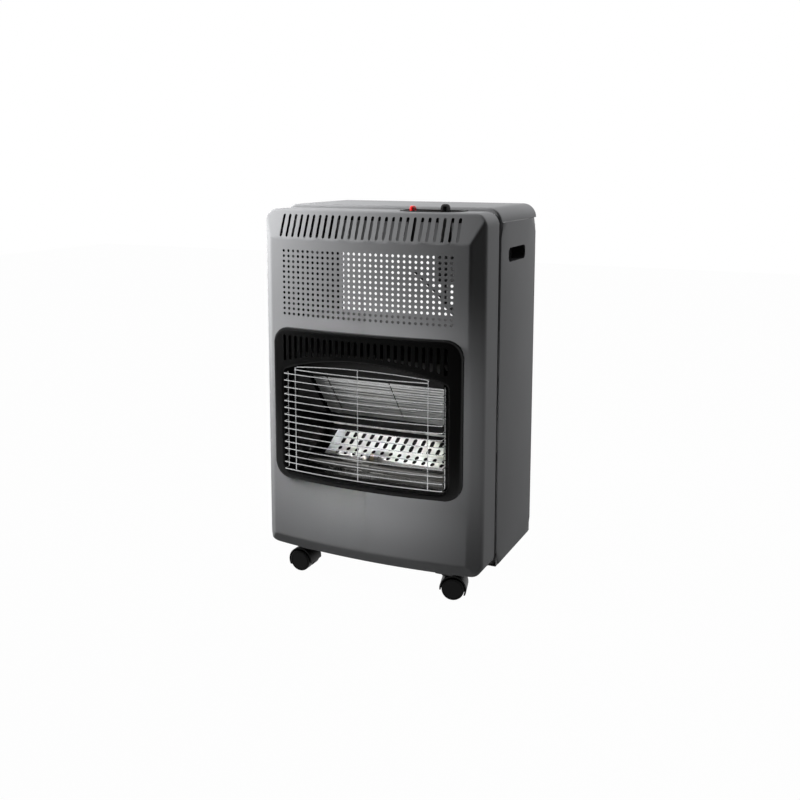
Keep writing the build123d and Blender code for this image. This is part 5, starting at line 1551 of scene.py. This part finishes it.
# ------------------------------------------------------------------------------ burner
@dataclass
class Burner:
    """The bright parts behind the guard: ribbed reflector, slotted burner face and gauze.

    Attributes:
        reflector_top, reflector_back: (y, z) of the reflector's upper and lower edge.
        reflector_half, reflector_columns: half its width, and the steps across it.
        ribs, rib_depth, rib_rows: the ribs, with the rows of points that each has.
        end_strip, end_ease, end_rib_depth: the strip of deeper ribs at the left, and its run-in.
        slits, slit_width, slit_foot: the two slits' places, width and end above the lower edge.
        plate_half: half the burner face's width.
        plate_profile: (y, z) down its two steps.
        plate_lip: height of the lip at its front.
        plate_slots, slot_pitch, slot_width: the slots in each row.
        slot_rows: (y, length) of each row of slots.
        plate_step, plate_columns, plate_inset: the face's mesh.
        gauze_y, gauze_half, gauze_span: the gauze strip.
        pleat, pleat_depth, gauze_columns: pitch and depth of its pleats, and points across it.
    """

    reflector_top: tuple = (78.0, 396.0)
    reflector_back: tuple = (152.0, 304.0)
    reflector_half: float = 149.0
    reflector_columns: int = 121
    ribs: int = 15
    rib_depth: float = 1.3
    rib_rows: int = 12
    end_strip: float = 26.0
    end_ease: float = 4.0
    end_rib_depth: float = 2.0
    slits: tuple = (-118.0, 18.0)
    slit_width: float = 2.4
    slit_foot: float = 9.0
    plate_half: float = 140.0
    plate_profile: tuple = ((165.0, 266.0), (131.0, 246.5), (129.0, 242.0), (106.0, 232.5))
    plate_lip: float = 5.0
    plate_slots: int = 13
    slot_pitch: float = 19.0
    slot_width: float = 8.0
    slot_rows: tuple = ((156.8, 18.0), (139.6, 18.0), (123.9, 11.6), (112.0, 11.6))
    plate_step: float = 4.0
    plate_columns: int = 90
    plate_inset: float = 3.0
    gauze_y: float = 165.3
    gauze_half: float = 151.0
    gauze_span: tuple = (268.0, 280.5)
    pleat: float = 2.0
    pleat_depth: float = 0.35
    gauze_columns: int = 1209

    def reflector(self) -> Surface:
        """Ribs across the slope: depth * (1 - cos) / 2 of the place down it, deeper at the left.

        The quads of the two slits are left out.

        Returns:
            An open surface.
        """
        half, slit = self.reflector_half, self.slit_width / 2
        across = np.unique(np.concatenate([
            np.linspace(-half, half, self.reflector_columns),
            [x + side * slit for x in self.slits for side in (-1, 1)]]))
        share = np.linspace(0.0, 1.0, self.ribs * self.rib_rows + 1)[:, None]
        start, end = np.array(self.reflector_top), np.array(self.reflector_back)
        slope = (end - start) / np.linalg.norm(end - start)
        normal = (slope[1], -slope[0])
        edge = np.clip((np.abs(across) - half + self.end_strip) / self.end_ease, 0.0, 1.0)
        deep = self.rib_depth + (self.end_rib_depth - self.rib_depth) * edge * (across < 0)
        rib = deep * (1 - np.cos(TAU * self.ribs * share)) / 2
        y = start[0] + (end - start)[0] * share + normal[0] * rib
        z = start[1] + (end - start)[1] * share + normal[1] * rib
        whole = grid_surface(across[None, :], y, z)
        quads = whole.faces[0]
        middle = whole.points[quads].mean(1)
        beside = np.abs(middle[:, :1] - np.array(self.slits)).min(1)
        cut = (beside < slit) & (middle[:, 2] > end[1] + self.slit_foot)
        return Surface(whole.points, [quads[~cut]])

    def plate(self) -> Surface:
        """The two-step burner face: unrolled as (x, way), then put on its profile.

        Returns:
            An open surface.
        """
        steps = np.array(self.plate_profile)
        profile = np.vstack([steps, steps[-1] + (0.0, -self.plate_lip)])
        way = way_along(profile)
        half = self.plate_half
        edge = rectangle(-half, half, 0.0, way[-1], self.plate_step)
        holes = []
        for y, length in self.slot_rows:
            middle = np.interp(-y, -steps[:, 0], way[:-1])
            holes += [slot_loop(x, middle - length / 2, middle + length / 2, self.slot_width, 3)
                      for x in evenly(self.plate_slots, self.slot_pitch)]
        inset = half - self.plate_inset
        points = lattice(np.linspace(-inset, inset, self.plate_columns), way[1:-1])

        def place(flat: np.ndarray) -> np.ndarray:
            """Puts (x, way) on the stepped profile."""
            return np.column_stack([flat[:, 0], np.interp(flat[:, 1], way, profile[:, 0]),
                                    np.interp(flat[:, 1], way, profile[:, 1])])

        return PressedSheet(Rim(edge), level, holes, inner=points).surface(place)

    def gauze(self) -> Surface:
        """A finely pleated strip behind the burner face: its depth is a sine along x.

        Returns:
            An open surface.
        """
        x = np.linspace(-self.gauze_half, self.gauze_half, self.gauze_columns)[None, :]
        y = self.gauze_y + self.pleat_depth * np.sin(TAU * x / self.pleat)
        return grid_surface(x, y, np.array(self.gauze_span)[:, None])

    def make(self, maker: Maker) -> None:
        """Makes the reflector, the burner face and the gauze.

        Args:
            maker: makes the pieces.
        """
        maker.piece("reflector_sheet", self.reflector(), REFLECTOR_SHEET, "reflector", wall=0.5,
                    facing=Facing.FRONT, sharp_degrees=50.0)
        maker.piece("burner_face", self.plate(), BURNER_FACE, "burner_plate", wall=0.8,
                    facing=Facing.UP, sharp_degrees=20.0, inside=SCALED_STEEL)
        maker.piece("gauze", self.gauze(), GAUZE, "mesh_strip", wall=0.3,
                    facing=Facing.FRONT, sharp_degrees=60.0)


# ------------------------------------------------------------------------------ studio
@dataclass(frozen=True)
class Lamp:
    """An area lamp that looks at a point, and that neither the camera nor gloss sees.

    Attributes:
        name: its name.
        place: where it stands, in metres.
        aim: where it looks, in metres.
        size: its width and height, in metres.
        watts: its power.
        spread: how wide its beam is, in degrees.
    """

    name: str
    place: tuple
    aim: tuple
    size: tuple
    watts: float
    spread: float = 180.0

    def make(self) -> None:
        """Puts the lamp into the scene."""
        data = bpy.data.lights.new(self.name, "AREA")
        data.shape, data.energy, data.spread = "RECTANGLE", self.watts, math.radians(self.spread)
        data.size, data.size_y = self.size
        lamp = bpy.data.objects.new(self.name, data)
        bpy.context.scene.collection.objects.link(lamp)
        lamp.location = self.place
        lamp.visible_camera = lamp.visible_glossy = False
        turn = (Vector(self.aim) - Vector(self.place)).to_track_quat("-Z", "Y")
        lamp.rotation_euler = turn.to_euler()


@dataclass
class Studio:
    """Camera, lamps, floor and world.

    Attributes:
        eye: the camera's place, in the heater's own frame.
        yaw: how far the camera turns to the left of straight ahead, in degrees.
        pitch: how far it looks down, in degrees.
        focal_px: focal length in pixels of the frame.
        frame_px: the frame's width in pixels.
        sensor_mm: width of the sensor.
        shift: the lens shift, as shares of the frame.
        clip: nearest and furthest thing that the camera sees, in metres.
        room: strength of the world's light.
        floor: how far the floor reaches each way, in metres.
        floor_colour, floor_roughness: its own finish.
        floor_white: how much of it is seen plain white; the rest shows the light and the shadow.
        card_colour: colour of the black cards.
        card_lift: how far the cards lie above the floor, in metres.
        card_back: where the card on the floor ends, in metres along Y.
        card_front: where the upright card stands, in metres along Y.
        card_half: half the cards' width, in metres.
        card_high: the upright card's height, in metres.
        lamps: one from the left, one from above behind, one from the right, a narrow one into
            the window, and a faint one inside the cabinet for the rear rail.
    """

    eye: tuple = (813.0, -1600.0, 819.0)
    yaw: float = 25.33
    pitch: float = 8.23
    focal_px: float = 987.0
    frame_px: float = 800.0
    sensor_mm: float = 36.0
    shift: tuple = (0.0133, -0.12)
    clip: tuple = (0.01, 50.0)
    room: float = 0.035
    floor: float = 6.0
    floor_colour: tuple = (0.18, 0.18, 0.18)
    floor_roughness: float = 0.9
    floor_white: float = 0.985
    card_colour: tuple = (0.01, 0.01, 0.01)
    card_lift: float = 0.002
    card_back: float = -0.85
    card_front: float = -2.8
    card_half: float = 3.0
    card_high: float = 3.2
    lamps: tuple = (
        Lamp("lamp_left", (-0.93, -0.46, 1.08), (-0.2, 0.0, 0.62), (0.35, 0.5), 8.8, 80.0),
        Lamp("lamp_top", (0.2, 0.9, 2.5), (0.0, 0.1, 0.7), (1.4, 1.0), 38.0),
        Lamp("lamp_right", (0.85, 0.90, 1.20), (0.2, 0.2, 0.6), (0.3, 0.3), 8.0),
        Lamp("lamp_window", (0.5, -2.3, 1.0), (0.0, -0.1, 0.31), (0.3, 0.3), 0.50, 8.0),
        Lamp("lamp_inside", (0.0, 0.03, 0.60), (0.0, 0.172, 0.665), (0.3, 0.03), 0.16),
    )

    def camera(self) -> None:
        """Makes the camera at the photograph's place and turn."""
        data = bpy.data.cameras.new("camera")
        data.sensor_width = self.sensor_mm
        data.lens = self.sensor_mm * self.focal_px / self.frame_px
        data.shift_x, data.shift_y = self.shift
        data.clip_start, data.clip_end = self.clip
        camera = bpy.data.objects.new("camera", data)
        bpy.context.scene.collection.objects.link(camera)
        camera.location = Maker.row(np.array([self.eye]))[0]
        camera.rotation_euler = (math.radians(90.0 - self.pitch), 0.0, math.radians(self.yaw))
        bpy.context.scene.camera = camera

    @staticmethod
    def seen_white(tree: NodeTree) -> Value:
        """Finds the rays that see the plain white background.

        Args:
            tree: the nodes of a material or of the world.

        Returns:
            1 for what the camera, gloss and glass see, and 0 for light.
        """
        rays = tree.node("ShaderNodeLightPath", {}, {})
        seen = Value(tree, rays.outputs["Is Camera Ray"])
        for other in ("Is Glossy Ray", "Is Transmission Ray"):
            seen = tree.math("MAXIMUM", seen, Value(tree, rays.outputs[other]))
        return seen

    def world(self) -> None:
        """A world that is white to the eye and in gloss, and lights the heater faintly."""
        world = bpy.data.worlds.new("world")
        bpy.context.scene.world = world
        tree = NodeTree(world)
        background = tree.tree.nodes["Background"]
        tree.set(background.inputs["Color"], (1.0, 1.0, 1.0))
        tree.set(background.inputs["Strength"],
                 self.seen_white(tree) * (1.0 - self.room) + self.room)

    def white(self) -> bpy.types.Material:
        """The floor's white, which is seen at strength 1 and keeps a trace of the shadow.

        Returns:
            The material.
        """
        material = bpy.data.materials.new("floor_white")
        tree = NodeTree(material)
        tree.feed("Base Color", self.floor_colour)
        tree.feed("Roughness", self.floor_roughness)
        glow = tree.node("ShaderNodeEmission", {}, {"Color": (1.0, 1.0, 1.0), "Strength": 1.0})
        mixed = tree.node("ShaderNodeMixShader", {}, {
            0: self.seen_white(tree) * self.floor_white, 1: tree.shader.outputs[0],
            2: glow.outputs[0]})
        output = next(n for n in tree.tree.nodes if n.type == "OUTPUT_MATERIAL")
        tree.set(output.inputs["Surface"], mixed.outputs[0])
        return material

    @staticmethod
    def sheet(name: str, corners: Sequence, material: bpy.types.Material) -> bpy.types.Object:
        """Makes one flat sheet of the studio.

        Args:
            name: its name.
            corners: its four corners, in metres.
            material: its material.

        Returns:
            The new object.
        """
        mesh = bpy.data.meshes.new(name)
        mesh.from_pydata(list(corners), [], [(0, 1, 2, 3)])
        mesh.materials.append(material)
        sheet = bpy.data.objects.new(name, mesh)
        bpy.context.scene.collection.objects.link(sheet)
        return sheet

    def black_cards(self) -> None:
        """Black cards before the heater, as a photographer sets up to keep its gloss dark."""
        material = bpy.data.materials.new("black_card")
        NodeTree(material).feed("Base Color", self.card_colour)
        half, low, front = self.card_half, self.card_lift, self.card_front
        edge = ((-half, front, low), (half, front, low))
        for name, far_edge in (
                ("card_on_floor", ((half, self.card_back, low), (-half, self.card_back, low))),
                ("card_upright", ((half, front, self.card_high), (-half, front, self.card_high)))):
            card = self.sheet(name, edge + far_edge, material)
            card.visible_camera = card.visible_shadow = False

    def make(self) -> None:
        """Sets up the whole studio."""
        self.camera()
        self.world()
        far = self.floor
        corners = ((-far, -far, 0.0), (far, -far, 0.0), (far, far, 0.0), (-far, far, 0.0))
        self.sheet("floor", corners, self.white())
        self.black_cards()
        for lamp in self.lamps:
            lamp.make()
        bpy.context.scene.view_settings.view_transform = "Standard"


def main() -> None:
    """Builds the studio and the heater's pieces in order."""
    logging.basicConfig(level=logging.INFO, format="%(name)s %(message)s")
    Studio().make()
    maker = Maker()
    maker.dress_nodes(frame["nodes"], frame["record"])
    for sub_assembly in (FrontPanel(), SidePanel(), RearBrace(), Bezel(), Guard(), Burner()):
        sub_assembly.make(maker)
    LOG.info("%d new pieces", len(maker.made))


if __name__ == "__main__":
    main()
